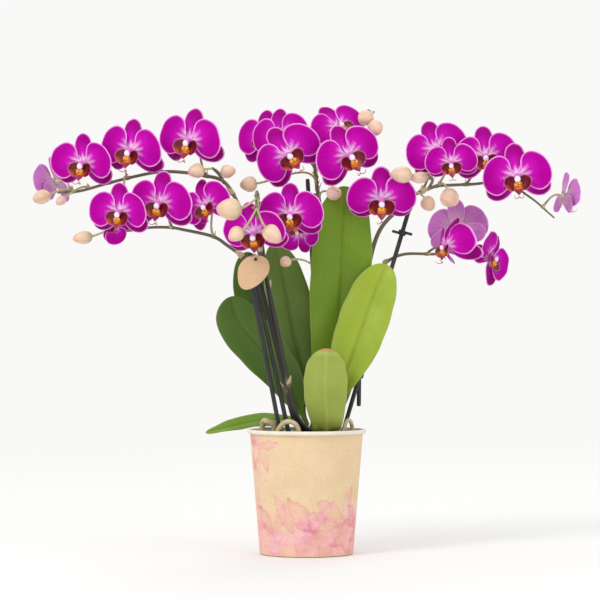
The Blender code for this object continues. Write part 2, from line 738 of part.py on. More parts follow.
def stalk(path, end, away, name):
    """A stalk from the nearest part of a spike's path to a point, arriving along away."""
    nearest = min(range(len(path)), key=lambda i: (path[i] - end).length)
    run = 0.0
    while nearest > 1 and run < STALK_LEAD * MM:
        run += (path[nearest] - path[nearest - 1]).length
        nearest -= 1
    start = path[nearest]
    reach = (end - start).length
    along = (path[nearest + 1] - start).normalized() if nearest + 1 < len(path) else away
    lift = 0.25 if away.z > -0.3 else -0.35  # a stalk dips under a flower that looks up
    first = start + (along * 0.2 + Vector((0, -0.1, lift))) * reach
    square = end + away * STALK_STRAIGHT * MM
    points = bezier(start, first, end + away * reach * 0.4, square, 5) + [end]
    return tube(name, points, PEDICEL_RADIUS, PEDICEL_RADIUS * 0.9, 0)


def bud(path, centre, half_length, half_thickness, pieces):
    """A bud on its stalk, pointing on along it."""
    nearest = min(path, key=lambda place: (place - centre).length)
    away = (nearest - centre).normalized()
    turn = (-away).to_track_quat("Z", "Y").to_matrix().to_4x4()
    pieces.append(ball(centre, (half_thickness, half_thickness, half_length), turn))
    pieces.append(stalk(path, centre + away * half_length * 0.6 * MM, away, "bud_stalk"))


def spike(name):
    (angle, height), points, (thick, thin), surface, borne, buds = SPIKES[name]
    base = beside_crown(angle, height, thick)
    path = through([base, *(above_rim(*place) for place in points)], SPIKE_POINTS)
    pieces = [tube(name, path, thick, thin)]
    for flower in borne:
        end, away = flower_back(flower)
        pieces.append(stalk(path, end, away, f"{flower}_stalk"))
    for centre, half_length, half_thickness in buds:
        bud(path, above_rim(*centre), half_length, half_thickness, pieces)
    if name in SIDE_BRANCHES:
        side_points, side_buds = SIDE_BRANCHES[name]
        side = through([above_rim(*place) for place in side_points], 5)
        pieces.append(tube("side_branch", side, 1.5, 1.1, 1))
        for centre, half_length, half_thickness in side_buds:
            bud(side, above_rim(*centre), half_length, half_thickness, pieces)
    union(name, pieces, surface)


def main():
    sockets = []
    cover_pot()
    grow_pot()
    sockets.append(crown())
    leaves()
    roots(sockets)
    stakes(sockets)
    bark_mix(sockets)
    clips()
    tag()
    for name in SPIKES:
        spike(name)
    flowers()


main()
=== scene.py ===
"""The looks of the potted orchid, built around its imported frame."""

import math

import bpy
import numpy as np
from mathutils import Euler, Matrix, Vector


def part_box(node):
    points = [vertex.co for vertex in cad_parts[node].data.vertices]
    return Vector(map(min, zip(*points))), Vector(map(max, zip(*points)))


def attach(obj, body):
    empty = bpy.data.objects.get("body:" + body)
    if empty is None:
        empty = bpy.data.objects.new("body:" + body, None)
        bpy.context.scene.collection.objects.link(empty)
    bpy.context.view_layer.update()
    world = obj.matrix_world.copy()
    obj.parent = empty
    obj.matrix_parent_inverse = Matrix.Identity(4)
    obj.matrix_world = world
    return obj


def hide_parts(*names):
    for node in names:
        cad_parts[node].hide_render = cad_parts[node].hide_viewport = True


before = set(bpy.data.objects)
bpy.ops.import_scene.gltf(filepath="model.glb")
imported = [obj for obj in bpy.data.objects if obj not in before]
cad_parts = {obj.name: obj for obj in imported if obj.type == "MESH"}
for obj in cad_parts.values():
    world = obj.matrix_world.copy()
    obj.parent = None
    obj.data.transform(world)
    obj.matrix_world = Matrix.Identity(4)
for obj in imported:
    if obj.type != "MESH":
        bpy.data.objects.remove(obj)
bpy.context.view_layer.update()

MM = 0.001
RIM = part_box("cover_pot")[1][2]  # the height of the pot's rim
ROOT = "root"
BLACK = (0.02, 0.02, 0.02)


# ---------------------------------------------------------------- points and curves


def above_rim(x, y, height):
    return Vector((x * MM, y * MM, RIM + height * MM))


def rows(points):
    """Points in metres as an array of millimetres."""
    return np.array([tuple(p) for p in points], dtype=float) / MM


def through(points, count):
    """A smooth row of points through the given ones (Catmull-Rom)."""
    points = np.asarray(points, dtype=float)
    ends = np.vstack([points[0] * 2 - points[1], points, points[-1] * 2 - points[-2]])
    place = np.linspace(0, len(points) - 1, count)
    i = np.minimum(place.astype(int), len(points) - 2)
    t = (place - i)[:, None]
    a, b, c, d = ends[i], ends[i + 1], ends[i + 2], ends[i + 3]
    return 0.5 * (2 * b + (c - a) * t + (2 * a - 5 * b + 4 * c - d) * t * t
                  + (3 * b - a - 3 * c + d) * t ** 3)


def straight(start, end, count, inset=0.0):
    """Evenly spaced points in millimetres between two points in metres."""
    ends = rows([start, end])
    return ends[0] + (ends[1] - ends[0]) * np.linspace(inset, 1 - inset, count)[:, None]


def bezier(start, first, second, end, count):
    t = np.linspace(0, 1, count)[:, None]
    return (start * (1 - t) ** 3 + first * 3 * t * (1 - t) ** 2
            + second * 3 * t * t * (1 - t) + end * t ** 3)


def ring_through(points, count):
    """A smooth closed row of points through the given ones."""
    points = np.asarray(points, dtype=float)
    n = len(points)
    place = np.linspace(0, n, count, endpoint=False)
    i = place.astype(int)
    t = (place - i)[:, None]
    a, b, c, d = points[(i - 1) % n], points[i % n], points[(i + 1) % n], points[(i + 2) % n]
    return 0.5 * (2 * b + (c - a) * t + (2 * a - 5 * b + 4 * c - d) * t * t
                  + (3 * b - a - 3 * c + d) * t ** 3)


def step(low, high, value):
    """A smooth step from 0 at low to 1 at high."""
    t = np.clip((value - low) / (high - low), 0, 1)
    return t * t * (3 - 2 * t)


def mix(first, second, share):
    share = np.asarray(share, dtype=float)[..., None]
    return np.asarray(first, dtype=float) * (1 - share) + np.asarray(second, dtype=float) * share


def ripple(places, scale, seed):
    """Smooth noise of about -1 to 1 at points, from a few crossed waves."""
    places = np.asarray(places, dtype=float) / scale
    rng = np.random.default_rng(seed)
    total = np.zeros(len(places))
    for _ in range(5):
        way = rng.normal(size=places.shape[1])
        total += np.sin(places @ way * 1.6 + rng.uniform(0, math.tau))
    return total / 3


# ---------------------------------------------------------------- meshes


class Shape:
    """Collects closed shapes, in millimetres, into one painted mesh."""

    def __init__(self):
        self.points, self.faces, self.paint, self.flat, self.count = [], [], [], [], 0

    def add(self, points, faces, paint, flat=None):
        points = np.asarray(points, dtype=float)
        paint = np.asarray(paint, dtype=float)
        if paint.ndim == 1:
            paint = np.tile(paint, (len(points), 1))
        if paint.shape[1] == 3:
            paint = np.hstack([paint, np.ones((len(paint), 1))])
        if flat is None:
            flat = np.zeros((len(points), 2))
        self.points.append(points)
        self.paint.append(paint)
        self.flat.append(np.asarray(flat, dtype=float))
        self.faces += [tuple(int(i) + self.count for i in face) for face in faces]
        self.count += len(points)

    def piece(self, name, material, slot, replaces=(), place=None, turn=None, size=1.0, sharp=50):
        """Makes the object, which rides on the root body."""
        points = np.vstack(self.points) * size
        if turn is not None:
            points = points @ np.array(turn).T
        points = points * MM
        if place is not None:
            points = points + np.array(place)
        mesh = bpy.data.meshes.new(name)
        mesh.from_pydata(points.tolist(), [], self.faces)
        paint = mesh.color_attributes.new("Paint", "FLOAT_COLOR", "POINT")
        paint.data.foreach_set("color", np.vstack(self.paint).ravel())
        corners = np.zeros(len(mesh.loops), dtype=np.int32)
        mesh.loops.foreach_get("vertex_index", corners)
        layer = mesh.uv_layers.new(name="Flat")
        layer.uv.foreach_set("vector", np.vstack(self.flat)[corners].ravel())
        mesh.materials.append(material)
        mesh.validate()
        mesh.update()
        mesh.shade_smooth()
        mesh.set_sharp_from_angle(angle=math.radians(sharp))
        made = bpy.data.objects.new(name, mesh)
        bpy.context.scene.collection.objects.link(made)
        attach(made, ROOT)
        if replaces:
            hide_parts(*replaces)
        return made


def net(row_count, column_count, closed=False):
    """The faces of a grid of points, row after row."""
    faces = []
    for i in range(row_count - 1):
        for j in range(column_count if closed else column_count - 1):
            k = (j + 1) % column_count
            a, b = i * column_count + j, i * column_count + k
            faces.append((a, b, b + column_count, a + column_count))
    return faces


DOME = np.array([0.35, 0.75, 0.97])  # the radii of a bar's domed end, as shares


def rope(shape, path, radii, paint, segments):
    """A closed round bar along a path in millimetres. Its ends are domed."""
    path = np.asarray(path, dtype=float)
    radii = np.broadcast_to(np.asarray(radii, dtype=float), (len(path),)).copy()
    paint = np.asarray(paint, dtype=float)
    if paint.ndim == 1:
        paint = np.tile(paint, (len(path), 1))
    along = np.gradient(path, axis=0)
    along /= np.linalg.norm(along, axis=1)[:, None]
    start = [path[0] - along[0] * radii[0] * 0.5 * math.sqrt(1 - d * d) for d in DOME]
    end = [path[-1] + along[-1] * radii[-1] * 0.5 * math.sqrt(1 - d * d) for d in DOME[::-1]]
    full = np.vstack([start, path, end])
    sizes = np.concatenate([radii[0] * DOME, radii, radii[-1] * DOME[::-1]])
    ways = np.pad(along, ((len(DOME), len(DOME)), (0, 0)), mode="edge")
    paint = np.pad(paint, ((len(DOME), len(DOME)), (0, 0)), mode="edge")
    side = Vector(ways[0]).orthogonal().normalized()
    angles = np.linspace(0, math.tau, segments, endpoint=False)
    points, flats = [], []
    run = 0.0
    for i, way in enumerate(ways):
        if i:
            side = Vector(ways[i - 1]).rotation_difference(Vector(way)) @ side
            run += float(np.linalg.norm(full[i] - full[i - 1]))
        u, v = np.array(side), np.array(Vector(way).cross(side))
        points.append(full[i] + sizes[i] * (np.cos(angles)[:, None] * u + np.sin(angles)[:, None] * v))
        flats += [(a * 2.0, run) for a in angles]
    faces = net(len(full), segments, True)
    faces.append(tuple(reversed(range(segments))))
    last_row = (len(full) - 1) * segments
    faces.append(tuple(last_row + j for j in range(segments)))
    shape.add(np.vstack(points), faces, np.repeat(paint, segments, axis=0), flats)


def orb(shape, centre, sizes, turn, paint, segments=20, rings=14, form=None):
    """A closed ball. Paint and form are functions of its unit points."""
    polar = np.linspace(0, math.pi, rings + 1)[1:-1]
    around = np.linspace(0, math.tau, segments, endpoint=False)
    p, a = np.meshgrid(polar, around, indexing="ij")
    unit = np.stack([np.sin(p) * np.cos(a), np.sin(p) * np.sin(a), np.cos(p)], axis=-1).reshape(-1, 3)
    unit = np.vstack([unit, (0, 0, 1), (0, 0, -1)])
    shaped = unit if form is None else form(unit)
    points = shaped * np.array(sizes)
    points = points @ np.array(turn).T + np.array(centre)
    faces = net(rings - 1, segments, True)
    top, bottom = len(unit) - 2, len(unit) - 1
    for j in range(segments):
        k = (j + 1) % segments
        faces.append((top, k, j))
        base = (rings - 2) * segments
        faces.append((bottom, base + j, base + k))
    flat = np.stack([np.append(a.ravel(), (0, 0)) * 3, unit[:, 2] * sizes[2]], axis=-1)
    shape.add(points, [tuple(reversed(f)) for f in faces], paint(unit), flat)


# A blade's rings, as shares of the way from its middle to its edge
RHO = np.array([0.14, 0.28, 0.42, 0.55, 0.67, 0.77, 0.85, 0.91, 0.95, 0.98, 1.0])


def blade(shape, outline, middle, axes, origin, depth, thick, front, back, spokes=48, fine=RHO):
    """A thin closed leaf-like sheet. The outline is a closed row of (u, v), the sheet's
    axes are the rows of a matrix (u, v, out) and depth gives its relief along out."""
    ring = ring_through(outline, spokes)
    middle = np.asarray(middle, dtype=float)
    spread = ring - middle
    flat = np.vstack([middle, *(middle + rho * spread for rho in fine)])
    rho = np.concatenate([[0.0], np.repeat(fine, spokes)])
    edge = np.concatenate([[99.0], ((1 - fine)[:, None] * np.linalg.norm(spread, axis=1)).ravel()])
    lift = depth(flat[:, 0], flat[:, 1], rho)
    half = thick / 2 * np.sqrt(np.clip(1 - rho ** 8, 0.02, 1))
    axes = np.asarray(axes, dtype=float)
    layers = []
    for sign in (1, -1):
        height = lift + sign * half
        layers.append(origin + flat[:, :1] * axes[0] + flat[:, 1:] * axes[1] + height[:, None] * axes[2])
    n = len(flat)
    faces = []
    for j in range(spokes):
        k = (j + 1) % spokes
        faces.append((0, 1 + j, 1 + k))
        for i in range(len(fine) - 1):
            a, b = 1 + i * spokes + j, 1 + i * spokes + k
            faces.append((a, a + spokes, b + spokes, b))
    under = [tuple(n + i for i in reversed(f)) for f in faces]
    last = 1 + (len(fine) - 1) * spokes
    side = [(last + j, n + last + j, n + last + (j + 1) % spokes, last + (j + 1) % spokes)
            for j in range(spokes)]
    paint = np.vstack([front(flat[:, 0], flat[:, 1], rho, edge), back(flat[:, 0], flat[:, 1], rho, edge)])
    shape.add(np.vstack(layers), faces + under + side, paint, np.vstack([flat, flat]))


# ---------------------------------------------------------------- materials


class Skin:
    """A Principled material, with short calls to make and join its nodes."""

    def __init__(self, name, roughness, **constants):
        self.made = bpy.data.materials.new(name)
        self.made.use_nodes = True
        self.tree = self.made.node_tree
        self.shader = self.tree.nodes["Principled BSDF"]
        self.shader.inputs["Roughness"].default_value = roughness
        for socket, value in constants.items():
            self.shader.inputs[socket.replace("_", " ")].default_value = value

    def finish(self, colour, height, strength, distance):
        """Sets the colour and the bump, and gives the material."""
        bump = self.node("ShaderNodeBump")
        bump.inputs["Strength"].default_value = strength
        bump.inputs["Distance"].default_value = distance
        self.put(height, bump.inputs["Height"])
        self.put(bump.outputs[0], self.shader.inputs["Normal"])
        self.put(colour, self.shader.inputs["Base Color"])
        return self.made

    def node(self, kind, **settings):
        made = self.tree.nodes.new(kind)
        for key, value in settings.items():
            setattr(made, key, value)
        return made

    def put(self, value, socket):
        if isinstance(value, bpy.types.NodeSocket):
            self.tree.links.new(value, socket)
        else:
            socket.default_value = value

    def painted(self):
        """The outputs of the mesh's own paint: its colour and its alpha."""
        found = self.node("ShaderNodeAttribute", attribute_name="Paint").outputs
        return found["Color"], found["Alpha"]

    def flat(self):
        return self.node("ShaderNodeUVMap", uv_map="Flat").outputs[0]

    def place(self):
        return self.node("ShaderNodeNewGeometry").outputs["Position"]

    def feed(self, made, *values):
        """Gives a node its first inputs, and returns its outputs."""
        for i, value in enumerate(values):
            self.put(value, made.inputs[i])
        return made.outputs

    def math(self, operation, first, second):
        return self.feed(self.node("ShaderNodeMath", operation=operation), first, second)[0]

    def scaled(self, source, scale):
        return self.feed(self.node("ShaderNodeVectorMath", operation="MULTIPLY"), source, scale)[0]

    def length(self, source):
        return self.feed(self.node("ShaderNodeVectorMath", operation="LENGTH"), source)["Value"]

    def noise(self, source, scale, detail=3.0, rough=0.55, distortion=0.0):
        made = self.node("ShaderNodeTexNoise")
        self.put(source, made.inputs["Vector"])
        for socket, value in (("Scale", scale), ("Detail", detail), ("Roughness", rough),
                              ("Distortion", distortion)):
            made.inputs[socket].default_value = value
        return made.outputs["Fac"]

    def voronoi(self, source, scale, feature="F1"):
        made = self.node("ShaderNodeTexVoronoi", feature=feature)
        self.put(source, made.inputs["Vector"])
        made.inputs["Scale"].default_value = scale
        return made.outputs["Distance"]

    def range(self, value, low, high, to_low=0.0, to_high=1.0):
        made = self.node("ShaderNodeMapRange", interpolation_type="SMOOTHSTEP")
        return self.feed(made, value, low, high, to_low, to_high)[0]

    def mix(self, share, first, second, blend="MIX"):
        made = self.node("ShaderNodeMix", data_type="RGBA", blend_type=blend)
        self.put(share, made.inputs["Factor"])
        for socket, value in (("A", first), ("B", second)):
            slot = [s for s in made.inputs if s.name == socket and s.type == "RGBA"][0]
            self.put((*value, 1.0) if isinstance(value, tuple) else value, slot)
        return [s for s in made.outputs if s.type == "RGBA"][0]

    def tinted(self, colour, tint):
        return self.mix(1.0, colour, tint, "MULTIPLY")


def petal_material():
    n = Skin("petal", 0.66, Specular_IOR_Level=0.05)
    paint, _ = n.painted()
    flat = n.flat()
    across, along, _ = n.feed(n.node("ShaderNodeSeparateXYZ"), flat)
    angle = n.math("MULTIPLY", n.math("ARCTAN2", across, along), 9.0)
    reach = n.math("MULTIPLY", n.length(flat), 0.035)
    veins = n.noise(n.feed(n.node("ShaderNodeCombineXYZ"), angle, reach)[0], 2.4, 3.0, 0.6, 0.3)
    cells = n.noise(n.place(), 900.0, 2.0)
    toned = n.mix(n.range(veins, 0.52, 0.68, 0.0, 0.42), paint, (0.26, 0.0, 0.21))
    height = n.math("ADD", n.math("MULTIPLY", veins, 0.6), n.math("MULTIPLY", cells, 0.25))
    return n.finish(toned, height, 0.35, 0.0006)


def heart_material():
    """The lip and the column. The paint's alpha is 0 where they are spotted."""
    n = Skin("flower_heart", 0.38, Specular_IOR_Level=0.45)
    paint, unspotted = n.painted()
    spots = n.range(n.voronoi(n.place(), 560.0), 0.22, 0.42, 1.0, 0.0)
    spotted = n.math("MULTIPLY", spots, n.math("SUBTRACT", 1.0, unspotted))
    toned = n.mix(spotted, paint, (0.34, 0.008, 0.012))
    return n.finish(toned, n.noise(n.place(), 700.0), 0.25, 0.0004)


def leaf_material():
    n = Skin("leaf", 0.42, Specular_IOR_Level=0.28)
    paint, _ = n.painted()
    lines = n.noise(n.scaled(n.flat(), (1.1, 0.012, 1.0)), 1.0, 3.0, 0.6)
    patch = n.noise(n.place(), 38.0, 4.0)
    pores = n.noise(n.place(), 1500.0, 2.0)
    base = n.mix(n.range(patch, 0.35, 0.7, 0.0, 0.30), paint, n.tinted(paint, (0.62, 0.74, 0.42)))
    light = n.tinted(base, (1.35, 1.28, 1.1))
    veined = n.mix(n.range(lines, 0.45, 0.70, 0.0, 0.28), base, light)
    speck = n.range(n.noise(n.place(), 420.0, 3.0), 0.66, 0.78, 0.0, 0.35)
    n.put(n.range(patch, 0.3, 0.7, 0.36, 0.52), n.shader.inputs["Roughness"])
    height = n.math("ADD", lines, n.math("MULTIPLY", pores, 0.12))
    return n.finish(n.mix(speck, veined, (0.36, 0.44, 0.14)), height, 0.30, 0.0007)


def stem_material():
    n = Skin("stem", 0.45)
    paint, _ = n.painted()
    streak = n.noise(n.scaled(n.flat(), (1.0, 0.12, 1.0)), 1.6, 3.0)
    patch = n.noise(n.place(), 160.0, 3.0)
    toned = n.mix(n.range(streak, 0.4, 0.7, 0.0, 0.45), paint, n.tinted(paint, (0.55, 0.5, 0.5)))
    toned = n.mix(n.range(patch, 0.5, 0.75, 0.0, 0.3), toned, n.tinted(paint, (1.5, 1.3, 1.3)))
    return n.finish(toned, n.math("ADD", streak, patch), 0.3, 0.0005)


def bud_material():
    n = Skin("bud", 0.42)
    paint, _ = n.painted()
    ribs = n.noise(n.scaled(n.flat(), (1.3, 0.10, 1.0)), 1.0, 2.0)
    patch = n.noise(n.place(), 130.0, 3.0)
    pink = n.mix(n.range(patch, 0.45, 0.70, 0.0, 0.40), paint, (0.72, 0.36, 0.26))
    toned = n.mix(n.range(ribs, 0.48, 0.66, 0.0, 0.30), pink, (0.46, 0.40, 0.16))
    return n.finish(toned, ribs, 0.3, 0.0006)


def root_material():
    n = Skin("root", 0.75)
    paint, _ = n.painted()
    patch = n.noise(n.place(), 260.0, 5.0, 0.65)
    crack = n.voronoi(n.place(), 520.0, "DISTANCE_TO_EDGE")
    toned = n.mix(n.range(patch, 0.45, 0.68, 0.0, 0.65), paint, (0.30, 0.20, 0.09))
    toned = n.mix(n.range(crack, 0.0, 0.06, 0.35, 0.0), toned, (0.16, 0.10, 0.05))
    return n.finish(toned, patch, 0.6, 0.0008)


def bark_material():
    n = Skin("bark", 0.92)
    paint, _ = n.painted()
    layers = n.noise(n.scaled(n.flat(), (0.5, 2.2, 1.0)), 1.0, 4.0, 0.65)
    grit = n.noise(n.place(), 650.0, 5.0, 0.7)
    toned = n.mix(n.range(layers, 0.38, 0.66), paint, n.tinted(paint, (0.32, 0.26, 0.22)))
    toned = n.mix(n.range(grit, 0.56, 0.74, 0.0, 0.5), toned, (0.34, 0.20, 0.11))
    return n.finish(toned, n.math("ADD", layers, grit), 0.8, 0.0012)


def black_material():
    n = Skin("black_moulded", 0.42)
    grain = n.noise(n.place(), 1100.0, 3.0)
    streak = n.noise(n.scaled(n.place(), (1.0, 1.0, 0.06)), 900.0, 3.0)
    toned = n.mix(n.range(streak, 0.4, 0.75), (0.010, 0.010, 0.011), (0.030, 0.030, 0.032))
    n.put(n.range(grain, 0.3, 0.7, 0.32, 0.55), n.shader.inputs["Roughness"])
    return n.finish(toned, n.math("ADD", grain, streak), 0.2, 0.0003)


def clear_material():
    n = Skin("clear_film", 0.12, Transmission_Weight=0.85, IOR=1.45)
    haze = n.noise(n.scaled(n.place(), (1.0, 1.0, 0.25)), 120.0, 3.0)
    toned = n.mix(n.range(haze, 0.4, 0.7), (0.86, 0.90, 0.88), (0.70, 0.72, 0.66))
    n.put(toned, n.shader.inputs["Base Color"])
    n.put(n.range(haze, 0.4, 0.7, 0.08, 0.30), n.shader.inputs["Roughness"])
    return n.made


def fibres(n, base, dark, light):
    """Kraft paper's short fibres and flecks over a base colour."""
    place = n.place()
    pulp = n.noise(place, 900.0, 5.0, 0.7)
    cloud = n.noise(place, 60.0, 3.0)
    strands = n.noise(n.scaled(place, (1.0, 1.0, 0.25)), 2600.0, 3.0, 0.7)
    toned = n.mix(n.range(pulp, 0.42, 0.72, 0.0, 0.35), base, dark)
    toned = n.mix(n.range(strands, 0.55, 0.75, 0.0, 0.30), toned, light)
    toned = n.mix(n.range(cloud, 0.35, 0.7, 0.0, 0.15), toned, dark)
    return toned, n.math("ADD", pulp, n.math("MULTIPLY", strands, 0.5))


# Printed flowers on the pot, as (angle from the front in degrees, height in mm, size in mm,
# first petal's direction in degrees, petals, strength)
PRINTS = [
    (-59, 97, 25, 12, 5, 0.9), (-67, 76, 17, 60, 4, 0.7), (-73, 58, 12, 20, 4, 0.5),
    (-66, 48, 12, 5, 5, 0.6), (-42, 20, 33, 62, 5, 0.75), (-15, 21, 38, 118, 4, 0.7),
    (6, 22, 36, 55, 5, 0.75), (30, 10, 32, 20, 5, 0.6), (48, 30, 36, 75, 5, 0.8),
    (74, 22, 30, 50, 5, 0.7), (98, 26, 34, 60, 5, 0.75), (128, 16, 32, 95, 5, 0.7),
    (158, 24, 34, 30, 5, 0.75), (188, 20, 36, 70, 5, 0.75), (216, 24, 32, 100, 5, 0.7),
    (244, 18, 34, 45, 5, 0.75), (272, 24, 30, 80, 5, 0.7), (150, 98, 24, 20, 6, 0.8),
    (128, 78, 16, 60, 5, 0.6),
]
PINK = np.array([(0.80, 0.26, 0.30), (0.88, 0.42, 0.50), (0.72, 0.20, 0.34), (0.90, 0.50, 0.58),
                 (0.84, 0.38, 0.32)])
HAZE = (0.90, 0.44, 0.44)
PETAL_LINE = (0.46, 0.06, 0.20)
PETAL_FLECK = (0.95, 0.70, 0.66)
PRINT_RADIUS = 47.0  # about the wall's mean radius, which turns angles into lengths


def watercolour(angle, height, base):
    """The printed flowers' colour over a base, at points of the wall."""
    s, z = angle * PRINT_RADIUS, height
    flat = np.stack([s, z], axis=-1)
    s = s + 1.3 * ripple(flat, 6.0, 2) + 0.5 * ripple(flat, 2.2, 4)
    z = z + 1.3 * ripple(flat, 6.0, 3) + 0.5 * ripple(flat, 2.2, 5)
    wash = 0.5 + 0.5 * ripple(flat, 7.0, 6)
    fine = 0.5 + 0.5 * ripple(flat, 2.0, 7)
    colour = np.tile(np.array(base, dtype=float), (len(s), 1))
    haze = step(46, 4, z + 13 * ripple(flat, 11.0, 8)) * (0.35 + 0.45 * wash)
    colour = mix(colour, HAZE, haze)
    around = PRINT_RADIUS * math.tau
    for item, (turn, middle, size, first, petals, strength) in enumerate(PRINTS):
        for k in range(petals):
            way = math.radians(first + 360 / petals * k)
            c, d = math.cos(way), math.sin(way)
            length = size * (0.52 + 0.06 * math.sin(item * 3 + k * 2))
            width = size * (0.20 + 0.05 * (k % 2))
            from_flower = (s - math.radians(turn) * PRINT_RADIUS + around / 2) % around - around / 2
            ds = from_flower - c * size * 0.5
            dz = z - middle - d * size * 0.5
            along = (ds * c + dz * d) / length
            across = np.abs(-ds * d + dz * c) / width
            inside = 1 - np.abs(along) ** 1.8 - across
            body = step(0.0, 0.14, inside)
            rim = body * step(0.42, 0.05, inside)
            first_tone, second_tone = PINK[(item + k) % 5], PINK[(item + 2 * k + 1) % 5]
            tone = mix(first_tone, second_tone, step(-0.8, 0.9, along + 0.3 * (wash - 0.5)))
            tone = mix(tone, PETAL_LINE, rim * 0.25 + step(0.55, 1.0, along) * 0.50)
            tone = mix(tone, PETAL_FLECK, body * step(0.15, 0.7, fine) * 0.30 * (1 - rim))
            colour = mix(colour, tone, body * strength * (0.35 + 0.55 * wash))
    return colour


def kraft_print_material():
    n = Skin("kraft_print", 0.78, Specular_IOR_Level=0.2)
    paint, _ = n.painted()
    dark, light = n.tinted(paint, (0.62, 0.55, 0.48)), n.mix(0.5, paint, (1.0, 0.92, 0.8))
    body, height = fibres(n, paint, dark, light)
    return n.finish(body, height, 0.22, 0.0004)


def card_material():
    n = Skin("kraft_card", 0.8)
    body, height = fibres(n, (0.66, 0.44, 0.26), (0.42, 0.25, 0.13), (0.84, 0.66, 0.46))
    return n.finish(body, height, 0.25, 0.0004)


# ---------------------------------------------------------------- pot and bark

low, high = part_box("cover_pot")
POT_TOP = high[2] / MM
RIM_RADIUS = (high[0] - low[0]) / 2 / MM
WALL_TOP_RADIUS = RIM_RADIUS - 3.2
BASE_RADIUS = 42.0
WALL = 1.2
FLOOR_TOP = 2.0
GROW_GAP = 1.8  # from the cover pot's inner face to the grow pot's inner face
GROW_CLEARANCE = 1.0  # from the cover pot's inner face to the grow pot's outer face
RIM_HEIGHT = 3.8
POT_STEPS = 300  # around the pot
LAP_RADIUS = 48  # turns the angle from the back into mm, for the lap of the wall
KRAFT = (0.80, 0.61, 0.38)
CREAM = (0.84, 0.78, 0.68)


def wall_radius(height):
    return BASE_RADIUS + (WALL_TOP_RADIUS - BASE_RADIUS) * height / (POT_TOP - RIM_HEIGHT)


def lathe(shape, profile, paint, segments, bump=None):
    """A closed turned solid from a profile of (radius, height) that starts and ends on the axis."""
    profile = np.asarray(profile, dtype=float)
    around = np.linspace(0, math.tau, segments, endpoint=False)
    inner = profile[1:-1]
    radius = np.repeat(inner[:, 0], segments)
    height = np.repeat(inner[:, 1], segments)
    angle = np.tile(around, len(inner))
    if bump is not None:
        radius = radius + bump(angle, height, radius)
    points = np.stack([radius * np.sin(angle), -radius * np.cos(angle), height], axis=-1)
    points = np.vstack([points, (0, 0, profile[0, 1]), (0, 0, profile[-1, 1])])
    faces = net(len(inner), segments, True)
    first, last = len(points) - 2, len(points) - 1
    base = (len(inner) - 1) * segments
    for j in range(segments):
        k = (j + 1) % segments
        faces.append((first, k, j))
        faces.append((last, base + j, base + k))
    turn = np.where(angle > math.pi, angle - math.tau, angle)
    flat = np.stack([turn * PRINT_RADIUS, height], axis=-1)
    flat = np.vstack([flat, (0, 0), (0, 0)])
    rows_paint = np.asarray(paint, dtype=float)
    colours = np.vstack([np.repeat(rows_paint[1:-1], segments, axis=0), rows_paint[0], rows_paint[-1]])
    shape.add(points, faces, colours, flat)


def rim_profile():
    """The rolled rim, from its inner foot over the top to its outer foot."""
    middle = (WALL_TOP_RADIUS - WALL + RIM_RADIUS) / 2
    reach = RIM_RADIUS - middle
    for i in range(1, 14):
        angle = math.pi - math.pi * 1.5 * i / 13
        yield (middle + reach * math.cos(angle),
               POT_TOP - RIM_HEIGHT / 2 + RIM_HEIGHT / 2 * math.sin(angle))


def seam(angle, height, radius):
    """How far the lap at the back of the wall stands out."""
    lap = np.exp(-((np.abs(angle - math.pi) * LAP_RADIUS - 3) / 2.2) ** 4) * 0.35
    on_wall = (height > 2) * (height < POT_TOP - RIM_HEIGHT - 0.1) * (radius > wall_radius(height) - 0.3)
    return lap * on_wall


def pot():
    wall_top = POT_TOP - RIM_HEIGHT
    inner = [(wall_radius(height) - WALL, height) for height in np.linspace(FLOOR_TOP, wall_top, 12)]
    lining = [(0, FLOOR_TOP), *inner, *rim_profile()]
    wall = [(wall_radius(height), height) for height in np.linspace(wall_top - 0.2, 1.6, 104)]
    foot = [(BASE_RADIUS - inset, height) for inset, height in
            ((0, 0.9), (0.4, 0.25), (1.2, 0.0), (2.2, 0.0), (2.8, 0.5), (3.0, 0.9))]
    foot.append((0, 0.9))
    paint = [(*CREAM, 0)] * len(lining) + [(*KRAFT, 1)] * len(wall) + [(*KRAFT, 0.3)] * len(foot)
    shape = Shape()
    lathe(shape, [*lining, *wall, *foot], paint, POT_STEPS, seam)
    first = len(lining) - 1
    walls = slice(first * POT_STEPS, (first + len(wall)) * POT_STEPS)
    flat, colours = shape.flat[0], shape.paint[0]
    colours[walls, :3] = watercolour(flat[walls, 0] / PRINT_RADIUS, flat[walls, 1], KRAFT)
    shape.piece("cover_pot_paper", kraft_print_material(), "kraft_paper", ["cover_pot"], sharp=40)


def grow_pot():
    low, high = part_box("grow_pot")
    bottom, top = low[2] / MM, high[2] / MM
    floor = bottom + 0.8
    edge = wall_radius(top) - WALL
    profile = [(0, floor)]
    profile += [(wall_radius(z) - WALL - GROW_GAP, z) for z in np.linspace(floor, top - 1.2, 10)]
    profile += [(edge - 1.5, top - 0.3), (edge - 1.1, top), (edge - 0.4, top - 0.2), (edge - 0.4, top - 1.0)]
    profile += [(wall_radius(z) - WALL - GROW_CLEARANCE, z) for z in np.linspace(top - 1.4, bottom, 10)]
    profile.append((0, bottom))
    shape = Shape()
    lathe(shape, profile, [(0.8, 0.84, 0.82, 1.0)] * len(profile), 72)
    shape.piece("grow_pot_film", clear_material(), "clear_plastic", ["grow_pot"])


BARK_RADIUS = (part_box("bark_mix")[1][0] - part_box("bark_mix")[0][0]) / 2 / MM
BARK_TOP = POT_TOP - 9.0
CHIPS = 190
CHIP_TRIES = 1400
CHIP_APART = 4.2
CHIP_BROWNS = [(0.15, 0.075, 0.040), (0.10, 0.052, 0.032), (0.24, 0.13, 0.07)]
SOIL = (0.06, 0.03, 0.018, 1.0)


